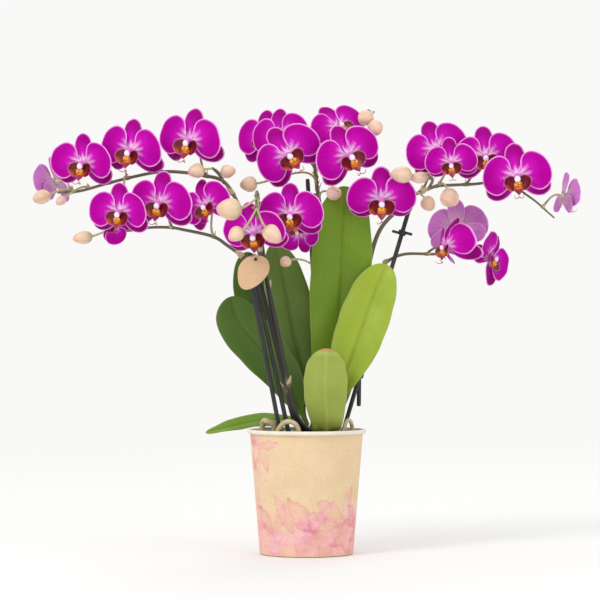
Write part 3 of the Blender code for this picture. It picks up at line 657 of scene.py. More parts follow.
def chip(shape, rng, x, y, layer, radius):
    sizes = rng.uniform((3.4, 2.4, 1.1), (6.6, 4.0, 2.2))
    if radius + sizes[0] > BARK_RADIUS:
        sizes[0] = max(2.4, BARK_RADIUS - radius)
    turn = Euler((rng.normal(0, 0.30), rng.normal(0, 0.30), rng.uniform(0, math.tau))).to_matrix()
    tone = rng.uniform(0.55, 1.5)
    colour = np.array(CHIP_BROWNS[rng.integers(0, 3)]) * tone
    seed = int(rng.integers(0, 9999))

    def lump(unit):
        box = np.sign(unit) * np.abs(unit) ** 0.55
        return box * (1 + 0.13 * ripple(unit, 0.5, seed))[:, None] / 1.15

    height = BARK_TOP - 1.2 + layer * 1.8 + rng.uniform(-0.4, 0.8)
    orb(shape, (x, y, height), sizes, turn, lambda unit: np.tile(colour, (len(unit), 1)), 12, 8, lump)


def bark():
    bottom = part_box("bark_mix")[0][2] / MM
    shape = Shape()
    profile = [(r, BARK_TOP - 2.6) for r in np.linspace(0, BARK_RADIUS, 14)]
    profile += [(BARK_RADIUS - 0.8, BARK_TOP - 12), (wall_radius(6) - 6, bottom), (0, bottom)]
    lathe(shape, profile, [SOIL] * len(profile), 40)
    rng = np.random.default_rng(21)
    placed = []
    for _ in range(CHIP_TRIES):
        if len(placed) >= CHIPS:
            break
        radius = BARK_RADIUS * math.sqrt(rng.uniform(0, 1)) - 1.0
        angle = rng.uniform(0, math.tau)
        x, y = radius * math.cos(angle), radius * math.sin(angle)
        if math.hypot(x - CROWN_X, y) < 12 or radius > BARK_RADIUS - 4 or radius < 0:
            continue
        layer = rng.integers(0, 2)
        if any(abs(x - a) < CHIP_APART and abs(y - b) < CHIP_APART and layer == c for a, b, c in placed):
            continue
        placed.append((x, y, layer))
        chip(shape, rng, x, y, layer, radius)
    shape.piece("bark_chips", bark_material(), "pine_bark", ["bark_mix"], sharp=28)


# ---------------------------------------------------------------- crown and leaves

CROWN_X = 11.0
CROWN_RADIUS = 9.0
LEAF_THICKNESS = 1.7
GREEN = (0.150, 0.262, 0.012)
YOUNG = (0.300, 0.400, 0.030)
GREY_GREEN = (0.23, 0.30, 0.10)
DARK_GREEN = (0.070, 0.140, 0.012)

# Each leaf: its angle at the crown, points (the first is a height), width, base, peak,
# front, fold, upper colour, colour at its base, lower colour
LEAVES = {
    "leaf_centre": (60, [9, (20, 12, 44), (28, 11, 89), (31, 12, 143), (33, 13, 188), (35, 12, 219)],
                    58, 0.18, 0.54, (0.1, -1, 0.1), 16, GREEN, YOUNG, GREY_GREEN),
    "leaf_right": (-28, [5, (32, -10, 43), (45, -9, 78), (59, -3, 117), (72, 2, 148)],
                   47, 0.15, 0.60, (-0.2, -1, 0.1), 14, YOUNG, YOUNG, GREY_GREEN),
    "leaf_front": (-66, [-5, (18, -26, 3), (17, -34, 27), (17, -37, 52), (18, -35, 73)],
                   40, 0.40, 0.62, (0, 1, 0.1), 14, YOUNG, (0.27, 0.36, 0.035), (0.30, 0.36, 0.065)),
    "leaf_left_centre": (112, [8, (-2, 24, 44), (-12, 27, 89), (-20, 29, 130), (-29, 30, 168)],
                         43, 0.16, 0.58, (0.15, -1, 0.1), 14, (0.105, 0.175, 0.028), GREY_GREEN, GREY_GREEN),
    "leaf_left_inner": (156, [5, (-10, 20, 25), (-21, 34, 56), (-38, 37, 98), (-50, 40, 130), (-55, 40, 160)],
                        41, 0.15, 0.56, (0.1, -1, 0.1), 12, DARK_GREEN, GREEN, GREY_GREEN),
    "leaf_left_outer": (203, [3, (-10, -1, 24), (-21, 2, 46), (-42, 3, 72), (-61, 4, 95), (-69, 5, 119)],
                        46, 0.14, 0.66, (0.25, -1, 0.35), 12, (0.070, 0.135, 0.018), GREEN, GREY_GREEN),
    "leaf_low_left": (135, [-4, (-10, 31, 5), (-40, 42, 6), (-66, 44, 1), (-92, 40, -5)],
                      24, 0.40, 0.50, (0.1, -0.5, 1), 10, GREEN, GREY_GREEN, (0.26, 0.36, 0.17)),
}


def from_crown(angle):
    return Vector((math.cos(math.radians(angle)), math.sin(math.radians(angle)), 0))


def beside_crown(angle, height, half_depth):
    reach = CROWN_RADIUS + 0.3 + half_depth
    return above_rim(CROWN_X, 0, height) + from_crown(angle) * reach * MM


def half_width(share, base, peak):
    if share < peak:
        return base + (1 - base) * math.sin(share / peak * math.pi / 2) ** 1.5
    return math.sqrt(max(0.0, 1 - ((share - peak) / (1 - peak)) ** 2.4))


LEAF_STEPS = 400  # along a midrib, which the leaf's rows are taken from
LEAF_ROWS = 74
LEAF_COLUMNS = 29
LEAF_TIP = 0.9993  # the last row's share of the length, just short of the point
DRY_TIP = (0.42, 0.20, 0.08)
YOUNG_LEAVES = ("leaf_right", "leaf_front")


def leaf_sheet(name, seed):
    """A leaf's upper and lower points, and each point's place on the flat leaf as
    (across in mm, share of the length, share of the half width)."""
    angle, points, width, base, peak, front, fold, *_ = LEAVES[name]
    start = beside_crown(angle, points[0], LEAF_THICKNESS / 2 + 1.0)
    midrib = through(rows([start, *(above_rim(*p) for p in points[1:])]), LEAF_STEPS + 1)
    shares = np.sin(np.linspace(0, math.pi / 2, LEAF_ROWS)) ** 1.15
    shares[-1] = LEAF_TIP
    across = np.sin(np.linspace(-math.pi / 2, math.pi / 2, LEAF_COLUMNS))
    across = np.sign(across) * np.abs(across) ** 1.15
    raised = math.radians(fold)
    phase = np.random.default_rng(seed).uniform(0, math.tau, 4)
    upper, lower, flat = [], [], []
    for share in shares:
        place = share * LEAF_STEPS
        i = min(int(place), LEAF_STEPS - 1)
        centre = midrib[i] * (1 - place + i) + midrib[i + 1] * (place - i)
        way = Vector(midrib[min(i + 3, LEAF_STEPS)] - midrib[max(i - 3, 0)]).normalized()
        looks = (-from_crown(angle)).lerp(Vector(front), min(1.0, share / 0.25))
        side = way.cross(looks).normalized()
        up = np.array(side.cross(way).normalized())
        half = half_width(share, base, peak) * width / 2
        if share > 0.5:
            half *= 1 - 0.012 * math.sin(share * 37 + phase[0])
        thick = LEAF_THICKNESS / 2 * (0.35 + 0.65 * math.sqrt(max(0.0, 1 - share)))
        blend_in = min(1.0, share / 0.15)
        for x in across:
            wave = 0.9 * math.sin(share * 9 + phase[1] + (1.7 if x > 0 else 0)) * x * x
            wave += 0.35 * math.sin(share * 23 + phase[2] + x) * abs(x) ** 3
            groove = -1.1 * math.exp(-(x * half / 1.7) ** 2) * (1 - share) ** 0.4
            roll = -0.10 * half * abs(x) ** 3
            lift = abs(x) * half * math.sin(raised) + (wave + groove + roll) * blend_in
            spot = centre + np.array(side) * x * half * math.cos(raised)
            body = thick * math.sqrt(max(0.05, 1 - abs(x) ** 6))
            keel = 0.8 * math.exp(-(x * half / 2.2) ** 2) * (1 - share) * blend_in
            upper.append(spot + up * (lift + body))
            lower.append(spot + up * (lift - body - keel))
            flat.append((x * half, share, abs(x)))
    return upper, lower, np.array(flat)


def leaf_colours(name, across, along, edge):
    """The colours of a leaf's upper and lower face, with painted shade in the midrib groove and a painted
    sheen on the ridges beside it.
    """
    width, upper, start_colour, lower = LEAVES[name][2], *map(np.array, LEAVES[name][7:])
    rib = np.exp(-(across / 1.3) ** 2)
    # Painted sheen: a light band on the ridges either side of the midrib groove
    sheen_beside_rib = np.exp(-((np.abs(across) - 3.4) / 1.6) ** 2)
    margin = step(0.965, 1.0, edge)
    colour = mix(start_colour, upper, step(0.0, 0.35, along))
    # Painted shade: the upper face is darker in the midrib groove, then a painted sheen lightens the ridges
    # beside it
    colour = mix(colour, upper * 0.78, rib * 0.7)
    colour = mix(colour, upper * (1.25, 1.2, 1.3), sheen_beside_rib * 0.35)
    colour = mix(colour, (0.30, 0.38, 0.14), margin * 0.55)
    colour = mix(colour, upper * 1.15, step(0.75, 1.0, along) * 0.5)
    under = mix(lower, lower * 1.25, rib * 0.8)
    under = mix(under, (0.36, 0.42, 0.20), margin * 0.5)
    if name == "leaf_front":
        flat = np.stack([across, along * 200], axis=-1)
        dry = step(0.955, 0.985, along + 0.010 * ripple(flat, 3.0, 5))
        colour = mix(colour, DRY_TIP, dry)
        under = mix(under, (0.50, 0.26, 0.11), dry)
        under = mix(under, (0.44, 0.46, 0.16), step(0.90, 0.955, along) * 0.5 * (1 - dry))
    if name == "leaf_left_centre":
        # Painted sheen: the outer part of one half of this leaf is lighter, standing in for light falling on
        # that half
        pale = step(-0.55, -0.95, across / (width / 2))
        colour = mix(colour, (0.34, 0.42, 0.20), pale * 0.5)
    return colour, under


def leaf(name, material, seed):
    upper, lower, flat = leaf_sheet(name, seed)
    colour, under = leaf_colours(name, *flat.T)
    n = len(upper)
    faces = net(LEAF_ROWS, LEAF_COLUMNS)
    under_faces = [tuple(n + i for i in reversed(f)) for f in faces]
    rim = []
    for i in range(LEAF_ROWS - 1):
        a, b = i * LEAF_COLUMNS, (i + 1) * LEAF_COLUMNS
        rim.append((a, b, n + b, n + a))
        c, d = a + LEAF_COLUMNS - 1, b + LEAF_COLUMNS - 1
        rim.append((c, n + c, n + d, d))
    for j in range(LEAF_COLUMNS - 1):
        k = (LEAF_ROWS - 1) * LEAF_COLUMNS + j
        rim.append((j, n + j, n + j + 1, j + 1))
        rim.append((k + 1, n + k + 1, n + k, k))
    places = flat[:, :2] * (1, 200)
    shape = Shape()
    shape.add([*upper, *lower], faces + under_faces + rim, np.vstack([colour, under]), [*places, *places])
    slot = "leaf_yellow_green" if name in YOUNG_LEAVES else "leaf_green"
    shape.piece(f"{name}_blade", material, slot, [name], sharp=60)


def crown(material):
    low, high = (np.array(corner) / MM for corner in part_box("crown_stem"))
    share = np.linspace(0, 1, 26)
    heights = np.linspace(low[2], high[2] - 1.0, 26)
    radii = 8.6 * (1 - 0.45 * share ** 5) * (1 + 0.035 * np.sin(share * 40))
    path = np.stack([np.full(26, (low[0] + high[0]) / 2), np.zeros(26), heights], axis=-1)
    paint = mix((0.30, 0.22, 0.10), (0.16, 0.30, 0.04), step(0.35, 0.75, share))
    shape = Shape()
    rope(shape, path, radii, paint, 28)
    shape.piece("crown_stem_sheath", material, "leaf_yellow_green", ["crown_stem"])


# ---------------------------------------------------------------- roots, stakes, clips, tag

def in_bark(x_share, y_share, height):
    return above_rim(x_share * BARK_RADIUS, y_share * BARK_RADIUS, height)


ROOTS = {
    "root_arch": ([(-0.57, -0.71, -15), (-0.54, -0.74, 0), (-0.38, -0.80, 8), (-0.18, -0.82, 4),
                   (-0.10, -0.78, -15)], 2.4),
    "root_left": ([(-0.62, -0.36, -15), (-0.62, -0.42, 3), (-0.76, -0.44, 8), (-0.84, -0.32, 5),
                   (-0.84, -0.20, -15)], 2.8),
    "root_right": ([(0.68, -0.40, -15), (0.72, -0.45, 2), (0.80, -0.42, 9), (0.87, -0.30, 3),
                    (0.86, -0.20, -15)], 2.0),
}


def roots():
    material = root_material()
    for seed, (name, (points, radius)) in enumerate(ROOTS.items()):
        path = through(rows([in_bark(*p) for p in points]), 64)
        share = np.linspace(0, 1, 64)
        radii = radius * (1 - 0.15 * share) * (1 + 0.05 * ripple(path, 5.0, seed + 3))
        paint = mix((0.52, 0.42, 0.20), (0.62, 0.52, 0.34), 0.5 + 0.5 * ripple(path, 9.0, seed))
        shape = Shape()
        rope(shape, path, radii, paint, 18)
        shape.piece(f"{name}_velamen", material, "root_pale", [name])


STAKES = {
    "stake_left_outer": ((-0.265, -0.517), (-52, -38, 148)),
    "stake_left_inner": ((-0.042, -0.549), (-51, -31, 158)),
    "stake_centre": ((0.425, 0.774), (1, 36, 227)),
    "stake_right": ((0.325, 0.135), (96, 20, 208)),
}
STAKE_END = 45.0  # height of a long stake's lower end
STAKE_RADIUS = 2.0


def stake_ends(name):
    if name == "stake_short":
        return above_rim(47.5, 21, 20), above_rim(49, 24, 140)
    (x, y), top = STAKES[name]
    reach = wall_radius(STAKE_END) - WALL - GROW_GAP
    return Vector((x * reach, y * reach, STAKE_END)) * MM, above_rim(*top)


def stakes(material):
    for name in (*STAKES, "stake_short"):
        path = straight(*stake_ends(name), 60, 0.004)
        radii = np.full(60, STAKE_RADIUS)
        radii[0] = radii[-1] = STAKE_RADIUS * 0.92
        shape = Shape()
        rope(shape, path, radii, BLACK, 20)
        shape.piece(f"{name}_rod", material, "black_plastic", [name])


def on_stake(name, height):
    start, end = stake_ends(name)
    share = (RIM + height * MM - start.z) / (end.z - start.z)
    return start.lerp(end, share), (end - start).normalized()


CLIP_ARM = 1.3
CLIP_BRIDGE = 1.6
CLIP_HOLD = STAKE_RADIUS + 0.2
CLIP_WALL = 1.4
CLIP_HEIGHT = 4.5
COLLAR_STEPS = 28
SECTION_STEPS = 12


def collar(shape, centre, along):
    """A clip's ring around a stake, with rounded edges."""
    centre, along = np.array(centre) / MM, np.array(along)
    side = np.array(Vector(along).orthogonal().normalized())
    other = np.cross(along, side)
    angles = np.linspace(0, math.tau, COLLAR_STEPS, endpoint=False)
    around = np.cos(angles)[:, None] * side + np.sin(angles)[:, None] * other
    points = []
    for i in range(SECTION_STEPS):
        a = math.tau * i / SECTION_STEPS
        u = math.copysign(abs(math.cos(a)) ** 0.45, math.cos(a))
        v = math.copysign(abs(math.sin(a)) ** 0.45, math.sin(a))
        radius = CLIP_HOLD + CLIP_WALL / 2 + u * CLIP_WALL / 2
        points.append(centre + along * (v * CLIP_HEIGHT / 2) + radius * around)
    faces = []
    for i in range(SECTION_STEPS):
        a, b = i * COLLAR_STEPS, (i + 1) % SECTION_STEPS * COLLAR_STEPS
        for j in range(COLLAR_STEPS):
            m = (j + 1) % COLLAR_STEPS
            faces.append((a + j, a + m, b + m, b + j))
    shape.add(np.vstack(points), faces, BLACK)


def offset(x, y, z):
    return Vector((x, y, z)) * MM


def clip(name, material, centre, along, arms):
    shape = Shape()
    collar(shape, centre, along)
    for start, end in arms:
        rope(shape, straight(start, end, 8), CLIP_ARM, BLACK, 16)
    shape.piece(f"{name}_moulded", material, "black_plastic", [name])


def clips(material):
    edge = STAKE_RADIUS + 1
    centre, along = on_stake("stake_right", 177)
    clip("clip_right", material, centre, along,
         [(centre - offset(8.6, 0, -1.5), centre - offset(edge, 0, 0)),
          (centre + offset(edge, 0, 0), centre + offset(8.6, 0, -1.5))])
    centre, along = on_stake("stake_centre", 212)
    clip("clip_centre", material, centre, along,
         [(centre + offset(edge, -1, 0), centre + offset(7.2, -3.5, 0)),
          (centre - offset(edge, 0, 0), centre - offset(5.2, 0, -1))])
    near, beside = on_stake("stake_right", 48)
    centre, along = on_stake("stake_short", 48)
    shape = Shape()
    collar(shape, centre, along)
    collar(shape, near, beside)
    rope(shape, straight(centre.lerp(near, 0.30), centre.lerp(near, 0.74), 6), CLIP_BRIDGE, BLACK, 16)
    shape.piece("clip_low_moulded", material, "black_plastic", ["clip_low"])
    centre, along = on_stake("stake_left_outer", 148)
    hang = centre + offset(7, -11, 4)
    clip("clip_left", material, centre, along,
         [(centre.lerp(hang, 0.3), hang + offset(0, 3.5, 0)),
          (hang + offset(0, 4.2, 0), hang + offset(0, -2.8, 0))])


# ---------------------------------------------------------------- flowers

FLOWERS = {
    "flower_01": ((-227, 16, 223), 50, -115, 10, 0),
    "flower_02": ((-199, -24, 238), 58, -22, 12, 4),
    "flower_03": ((-156, -30, 249), 60, -25, 10, 6),
    "flower_04": ((-104, -24, 258), 62, -26, 8, 6),
    "flower_05": ((-165, -44, 194), 56, -20, 12, 4),
    "flower_06": ((-171, -21, 184), 37, -20, 10, 95),
    "flower_07": ((-130, -36, 202), 60, -22, 10, 4),
    "flower_08": ((-89, -28, 200), 53, -28, 6, -22),
    "flower_09": ((-46, -62, 175), 58, -14, 26, -5),
    "flower_10": ((-14, -46, 192), 58, -8, 12, 0),
    "flower_11": ((-6, -16, 177), 42, -25, 20, 170),
    "flower_12": ((-15.5, -12, 246), 62, 0, 5, -37),
    "flower_13": ((-37, 42, 264), 57, -22, 0, -6),
    "flower_14": ((-23, 13, 264), 56, -20, 0, -14),
    "flower_15": ((37.5, -18, 245), 62, 18, 5, -27),
    "flower_16": ((29, 26.5, 273), 55, 22, -24, -22),
    "flower_17": ((67, -20, 206), 62, 0, 26, 0),
    "flower_18": ((117, 2, 252), 58, -6, 0, -23),
    "flower_19": ((128, -44, 238), 47, -4, 24, -6),
    "flower_20": ((161, -8, 245), 58, -5, 6, -7),
    "flower_21": ((187.5, -28, 226), 63, -3, 8, -6),
    "flower_22": ((232, 4, 210), 46, 108, 8, 0),
    "flower_23": ((139, 52, 182), 56, 168, 8, 8),
    "flower_24": ((127, -1, 165), 51, -55, 8, -8),
    "flower_25": ((168, 50, 155), 54, 55, 6, 38),
}
SPAN = 58.0
HUB_BACK = 5.0
# How far the tips of a flower's tepals are drawn forward, in millimetres on the model flower
CUPPED = {
    "flower_01": 9, "flower_02": 6, "flower_05": 6, "flower_06": 8, "flower_11": 10,
    "flower_22": 9, "flower_24": -13, "flower_25": 6,
}

PETAL_OUTLINE = np.array([
    (0.028, 0.020), (0.062, 0.085), (0.068, 0.20), (0.108, 0.295), (0.20, 0.345), (0.31, 0.325),
    (0.415, 0.245), (0.482, 0.12), (0.50, 0.0), (0.475, -0.11), (0.41, -0.185), (0.32, -0.22),
    (0.22, -0.19), (0.13, -0.115), (0.06, -0.04)]) * SPAN
SEPAL_OUTLINE = np.array([
    (0.050, 0.01), (0.105, 0.11), (0.140, 0.22), (0.142, 0.32), (0.098, 0.415), (0.0, 0.46),
    (-0.098, 0.415), (-0.142, 0.32), (-0.140, 0.22), (-0.105, 0.11), (-0.050, 0.01)]) * SPAN

MAGENTA = (0.44, 0.0, 0.31)
BRIGHT = (0.62, 0.008, 0.50)
DEEP = (0.27, 0.0, 0.16)
TOP_SEPAL = (0.33, 0.0, 0.21)
GLOW = (0.92, 0.66, 0.90)
MARGIN = (0.90, 0.42, 0.84)
BACK = (0.58, 0.20, 0.56)
BACK_PALE = (0.60, 0.40, 0.50)
LIP_RED = (0.16, 0.002, 0.018)
CALLUS = (0.84, 0.36, 0.02)
TEPAL_THICKNESS = 0.62
LIP_THICKNESS = 0.8
LIP_RINGS = np.array([0.3, 0.55, 0.75, 0.9, 1.0])  # shares of the way out, for a lobe's rings


def turned_outline(outline, angle, length=1.0, width=1.0):
    """An outline along +v turned clockwise by an angle, in degrees."""
    points = np.asarray(outline) * (width, length)
    c, s = math.cos(math.radians(angle)), math.sin(math.radians(angle))
    return np.stack([points[:, 0] * c + points[:, 1] * s, -points[:, 0] * s + points[:, 1] * c], axis=-1)


def petal_front(body, glow_reach, margin):
    def paint(u, v, rho, edge):
        r = np.hypot(u, v)
        theta = np.arctan2(u, v)
        colour = mix(BRIGHT, body, step(8, 23, r + 1.2 * np.sin(theta * 5)))
        ragged = r + 2.2 * np.sin(theta * 13) + 1.0 * np.sin(theta * 29)
        colour = mix(GLOW, colour, step(3.0, glow_reach, ragged))
        return mix(colour, MARGIN, step(1.15, 0.35, edge) * margin)
    return paint


def petal_back(u, v, rho, edge):
    r = np.hypot(u, v)
    colour = mix(BACK_PALE, BACK, step(4, 22, r))
    return mix(colour, MARGIN, step(1.0, 0.3, edge) * 0.8)


def tepals(shape, seed, cup):
    rng = np.random.default_rng(seed)
    axes = np.array([(1, 0, 0), (0, 0, 1), (0, -1, 0)], dtype=float)

    def relief(angle, back, reflex, side):
        c, s = math.cos(math.radians(angle)), math.sin(math.radians(angle))
        phases = rng.uniform(0, math.tau, 4)
        tilt = rng.normal(0, 0.035)

        def depth(u, v, rho):
            along = u * s + v * c
            across = u * c - v * s
            r = np.hypot(u, v) / 29
            value = -back * step(0.0, 0.35, r) - reflex * r * r * r
            value = value + 0.9 * (1 - np.abs(across) / 14) * step(0.1, 0.5, r) * (1 if side else 0.6)
            theta = np.arctan2(u, v)
            waves = 0.75 * np.sin(theta * 5 + phases[0]) + 0.4 * np.sin(theta * 11 + phases[1])
            value = value + rho ** 3 * waves
            return value + cup * r * r + along * tilt
        return depth

    for angle in (0, 119, -119):
        turn = angle + rng.normal(0, 2.5)
        length, width = (1.12, 1.12) if angle else (1.02, 1.0)
        outline = turned_outline(SEPAL_OUTLINE, turn, length, width)
        middle = outline.mean(axis=0) * 1.05
        body = DEEP if angle else TOP_SEPAL
        blade(shape, outline, middle, axes, np.zeros(3), relief(turn, 1.5, 7.5, False), TEPAL_THICKNESS,
              petal_front(body, 9, 0.8), petal_back, 40)
    for side in (1, -1):
        outline = PETAL_OUTLINE * (side, 1)
        turn = rng.normal(0, 2.0)
        size = 1 + rng.normal(0, 0.012)
        outline = turned_outline(outline, turn) * size
        middle = np.array((0.27 * side, 0.06)) * SPAN
        ring = outline if side == 1 else outline[::-1]
        blade(shape, ring, middle, axes, np.zeros(3), relief(82 * side, -1.2, 2.2, True), TEPAL_THICKNESS,
              petal_front(MAGENTA, 12.5, 1.0), petal_back, 56)


def plain(colour, alpha=1.0):
    def paint(*arrays):
        return np.tile((*colour, alpha), (len(arrays[0]), 1))
    return paint


def opaque(colour):
    return np.hstack([colour, np.ones((len(colour), 1))])


def side_lobe(shape, side, seed):
    """One of the lip's two erect round ears."""
    out = Vector((-0.42 * side, -0.86, 0.28)).normalized()
    u = Vector((0.86 * side, -0.42, 0.0)).normalized()
    v = out.cross(u).normalized()
    if v.z < 0:
        v = -v
    axes = np.array([tuple(u), tuple(v), tuple(out)])
    ear = [(6.6 * math.cos(a) * (1 + 0.10 * math.sin(a)), 6.6 * math.sin(a) + 0.8)
           for a in np.linspace(0, math.tau, 12, endpoint=False)]
    if np.linalg.det(axes) < 0:
        ear = ear[::-1]

    def dish(a, b, rho):
        return rho * rho * 2.6 + 0.3 * np.sin(np.arctan2(a, b) * 7 + seed) * rho ** 3

    def red(a, b, rho, edge):
        colour = mix((0.24, 0.006, 0.03), LIP_RED, step(0.1, 0.7, rho))
        inner = step(5.6, 2.4, np.hypot(a + 5.0 * side, b + 3.8))
        colour = mix(colour, (0.72, 0.15, 0.015), inner * 0.8)
        stripes = 0.5 + 0.5 * np.sin(np.arctan2(b + 7, a) * 16)
        colour = mix(colour, (0.10, 0.0, 0.012), stripes * 0.35)
        colour = mix(colour, (0.78, 0.26, 0.52), step(0.75, 0.2, edge) * 0.8)
        return np.hstack([colour, (1 - inner)[:, None]])

    def outer(a, b, rho, edge):
        return opaque(mix((0.34, 0.01, 0.14), (0.50, 0.08, 0.36), step(0.3, 1.0, rho)))

    origin = np.array((6.3 * side, -4.4, -6.2))
    blade(shape, ear, (0.0, 0.6), axes, origin, dish, LIP_THICKNESS, red, outer, 26, LIP_RINGS)


def tongue(shape):
    """The lip's mid lobe, small and pointed, that bends down to two tendrils at its tip."""
    root = np.array((0.0, -5.6, -7.4))
    down = Vector((0, -0.52, -0.85)).normalized()
    out = Vector((0, -0.85, 0.52)).normalized()
    axes = np.array([(1, 0, 0), tuple(-down), tuple(out)], dtype=float)
    outline = [(1.8, 1.5), (3.0, -1.5), (4.0, -4.0), (2.0, -6.8), (0.0, -9.0), (-2.0, -6.8),
               (-4.0, -4.0), (-3.0, -1.5), (-1.8, 1.5), (0, 2.2)]
    if np.linalg.det(axes) > 0:
        outline = outline[::-1]

    def keel(a, b, rho):
        return 1.3 * np.abs(a) / 4 + 0.035 * b * b * 0.6

    def paint(a, b, rho, edge):
        colour = mix((0.78, 0.26, 0.03), (0.30, 0.003, 0.06), step(-0.5, -5.0, b))
        colour = mix(colour, (0.22, 0.0, 0.02), (0.5 + 0.5 * np.sin(a * 4.4)) * 0.6)
        return np.hstack([colour, step(-2.0, -6.0, b)[:, None]])

    blade(shape, outline, (0, -3.4), axes, root, keel, LIP_THICKNESS, paint, paint, 26, LIP_RINGS)
    tip = root + np.array(down) * 9.4
    for side in (1, -1):
        path = bezier(tip, tip + (1.5 * side, -1.5, -2.5), tip + (4.5 * side, -4.5, -1.5),
                      tip + (3.6 * side, -6.0, 2.2), 14)
        rope(shape, path, np.linspace(0.38, 0.20, 14), (0.34, 0.02, 0.12, 1.0), 8)


def bump(shape, centre, sizes, turn, paint, segments=16, rings=10):
    orb(shape, centre, sizes, Euler(turn).to_matrix(), paint, segments, rings)


def column(shape):
    """The column between the petals, its pale cap, and the short neck behind the flower."""
    path = bezier(*np.array([(0, 1.0, 0.3), (0, -2.5, 1.3), (0, -5.0, 0.8), (0, -7.2, -1.4)]), 12)
    share = np.linspace(0, 1, 12)
    paint = opaque(mix((0.82, 0.50, 0.80), (0.72, 0.16, 0.60), step(0.1, 0.6, share)))
    rope(shape, path, 2.1 + 0.6 * share, paint, 16)

    def cap(unit):
        return opaque(mix((0.93, 0.86, 0.93), (0.62, 0.10, 0.45), step(-0.2, -0.8, unit[:, 2])))

    bump(shape, (0, -7.9, -1.7), (2.5, 1.9, 3.1), (0.3, 0, 0), cap)
    neck = np.array([(0, 0.4, 0), (0, 1.8, 0), (0, 3.4, 0), (0, HUB_BACK, 0)], dtype=float)
    paint = opaque(np.array([(0.70, 0.42, 0.62), (0.66, 0.45, 0.52), (0.55, 0.50, 0.30), (0.48, 0.48, 0.22)]))
    rope(shape, neck, (3.0, 2.3, 1.5, 1.25), paint, 14)


def heart(shape, seed):
    for side in (1, -1):
        side_lobe(shape, side, seed)
    tongue(shape)
    # Callus, two yellow bumps on an orange one
    for side in (1, -1):
        bump(shape, (1.5 * side, -8.2, -6.0), (1.9, 1.9, 2.3), (0.3, 0.2 * side, 0),
             plain(CALLUS, 0.0), 12, 8)
    bump(shape, (0, -6.4, -8.4), (3.6, 2.6, 2.3), (0.25, 0, 0), plain((0.74, 0.19, 0.02), 0.0))
    column(shape)


def flower_place(name):
    (x, y, height), span, turn, nod, lean = FLOWERS[name]
    facing = Euler((math.radians(nod), math.radians(lean), math.radians(turn)), "YXZ")
    return above_rim(x, y, height), facing.to_matrix(), span / SPAN


def flowers():
    petal, inner = petal_material(), heart_material()
    for seed, name in enumerate(FLOWERS):
        place, facing, size = flower_place(name)
        shape = Shape()
        tepals(shape, seed, CUPPED.get(name, 0))
        shape.piece(f"{name}_tepals", petal, "petal_magenta", [name], place, facing, size)
        shape = Shape()
        heart(shape, seed)
        shape.piece(f"{name}_lip", inner, "petal_magenta", (), place, facing, size)


# ---------------------------------------------------------------- spikes

STEM_OLIVE = (0.165, 0.143, 0.080)
STEM_BLACK = (0.022, 0.018, 0.014)
PEDICEL = (0.42, 0.40, 0.20)
SPIKES = {
    "spike_upper_left": (
        (-107, -4),
        [(-6, -24, 8), (-15.5, -30, 38), (-31.5, -31, 116), (-44, -20, 165), (-60, -12, 200),
         (-74, -6, 222), (-93, -4, 228), (-114, -4, 231), (-133, -5, 231), (-154, -6, 227),
         (-178, -6, 221), (-204, -3, 214), (-224, 4, 213)],
        (2.1, 1.2), ["flower_01", "flower_02", "flower_03", "flower_04", "flower_05"],
        [((-237, -17, 208), 10, 6.5), ((-220, -12, 205), 5.5, 4)],
    ),
    "spike_lower_left": (
        (-130, -4),
        [(-8, -19, 7), (-18.5, -23, 40), (-39.5, -26, 125), (-48, -23, 147), (-57, -19, 155),
         (-71, -16, 165), (-84, -12, 173), (-110, -10, 179), (-122, -10, 181),
         (-140, -10, 181), (-163, -8, 178), (-180, -8, 175)],
        (2.1, 1.1), ["flower_06", "flower_07", "flower_08"],
        [((-200, -14, 172), 8.5, 5.8)],
    ),
    "spike_front": (
        (-154, -4),
        [(-8, -13, 3), (-13, -15.5, 14), (-19, -17, 40), (-33, -19, 116), (-39, -13, 161),
         (-43, -22, 192), (-43, -42, 208), (-44, -64, 211), (-44, -82, 203), (-43, -91, 186)],
        (2.1, 1.0), ["flower_09", "flower_10"],
        [((-67, -96, 195), 10.5, 9.5), ((-61, -97, 173), 7, 6.5), ((-30, -96, 173), 9, 7.5)],
    ),
    "spike_centre": (
        (84, -4),
        [(15, 26, 20), (18, 29, 89), (16, 29, 171), (12, 28, 204), (9, 27, 224),
         (9, 30, 243), (15, 39, 262), (28, 51, 275), (45, 54, 282), (58, 38, 286), (58, 15, 284)],
        (2.3, 1.1), ["flower_11", "flower_12", "flower_13", "flower_14", "flower_15", "flower_16"],
        [((-19, -22, 150), 5.5, 5), ((-52, -2, 220), 7.5, 7), ((25, -1, 212), 8, 6.5),
         ((53, 6, 280), 7.5, 7), ((62, 2, 271), 7.5, 7)],
    ),
    "spike_right": (
        (14, -4),
        [(34, 22, 30), (46, 31, 90), (62, 31, 168), (79, 22, 195), (89, 14, 206), (99, 12, 212),
         (117, 15, 219), (129, 16, 220), (152, 14, 221), (174, 8, 223), (187, 0, 218),
         (200, -4, 209), (208, -4, 203), (217, -2, 195), (223, 0, 190)],
        (2.3, 0.7), ["flower_17", "flower_18", "flower_19", "flower_20", "flower_21", "flower_22"],
        [((109, -14, 202), 8.5, 6.5),
         ((128, -18, 207), 10.5, 8.5)],
    ),
    "spike_back_right": (
        (48, -4),
        [(38, 38, 30), (54, 48, 90), (66, 50, 139), (74, 48, 151), (90, 42, 158), (118, 40, 158),
         (130, 50, 160), (141, 60, 157), (152, 66, 154)],
        (2.0, 0.9), ["flower_23", "flower_24", "flower_25"], [],
    ),
}
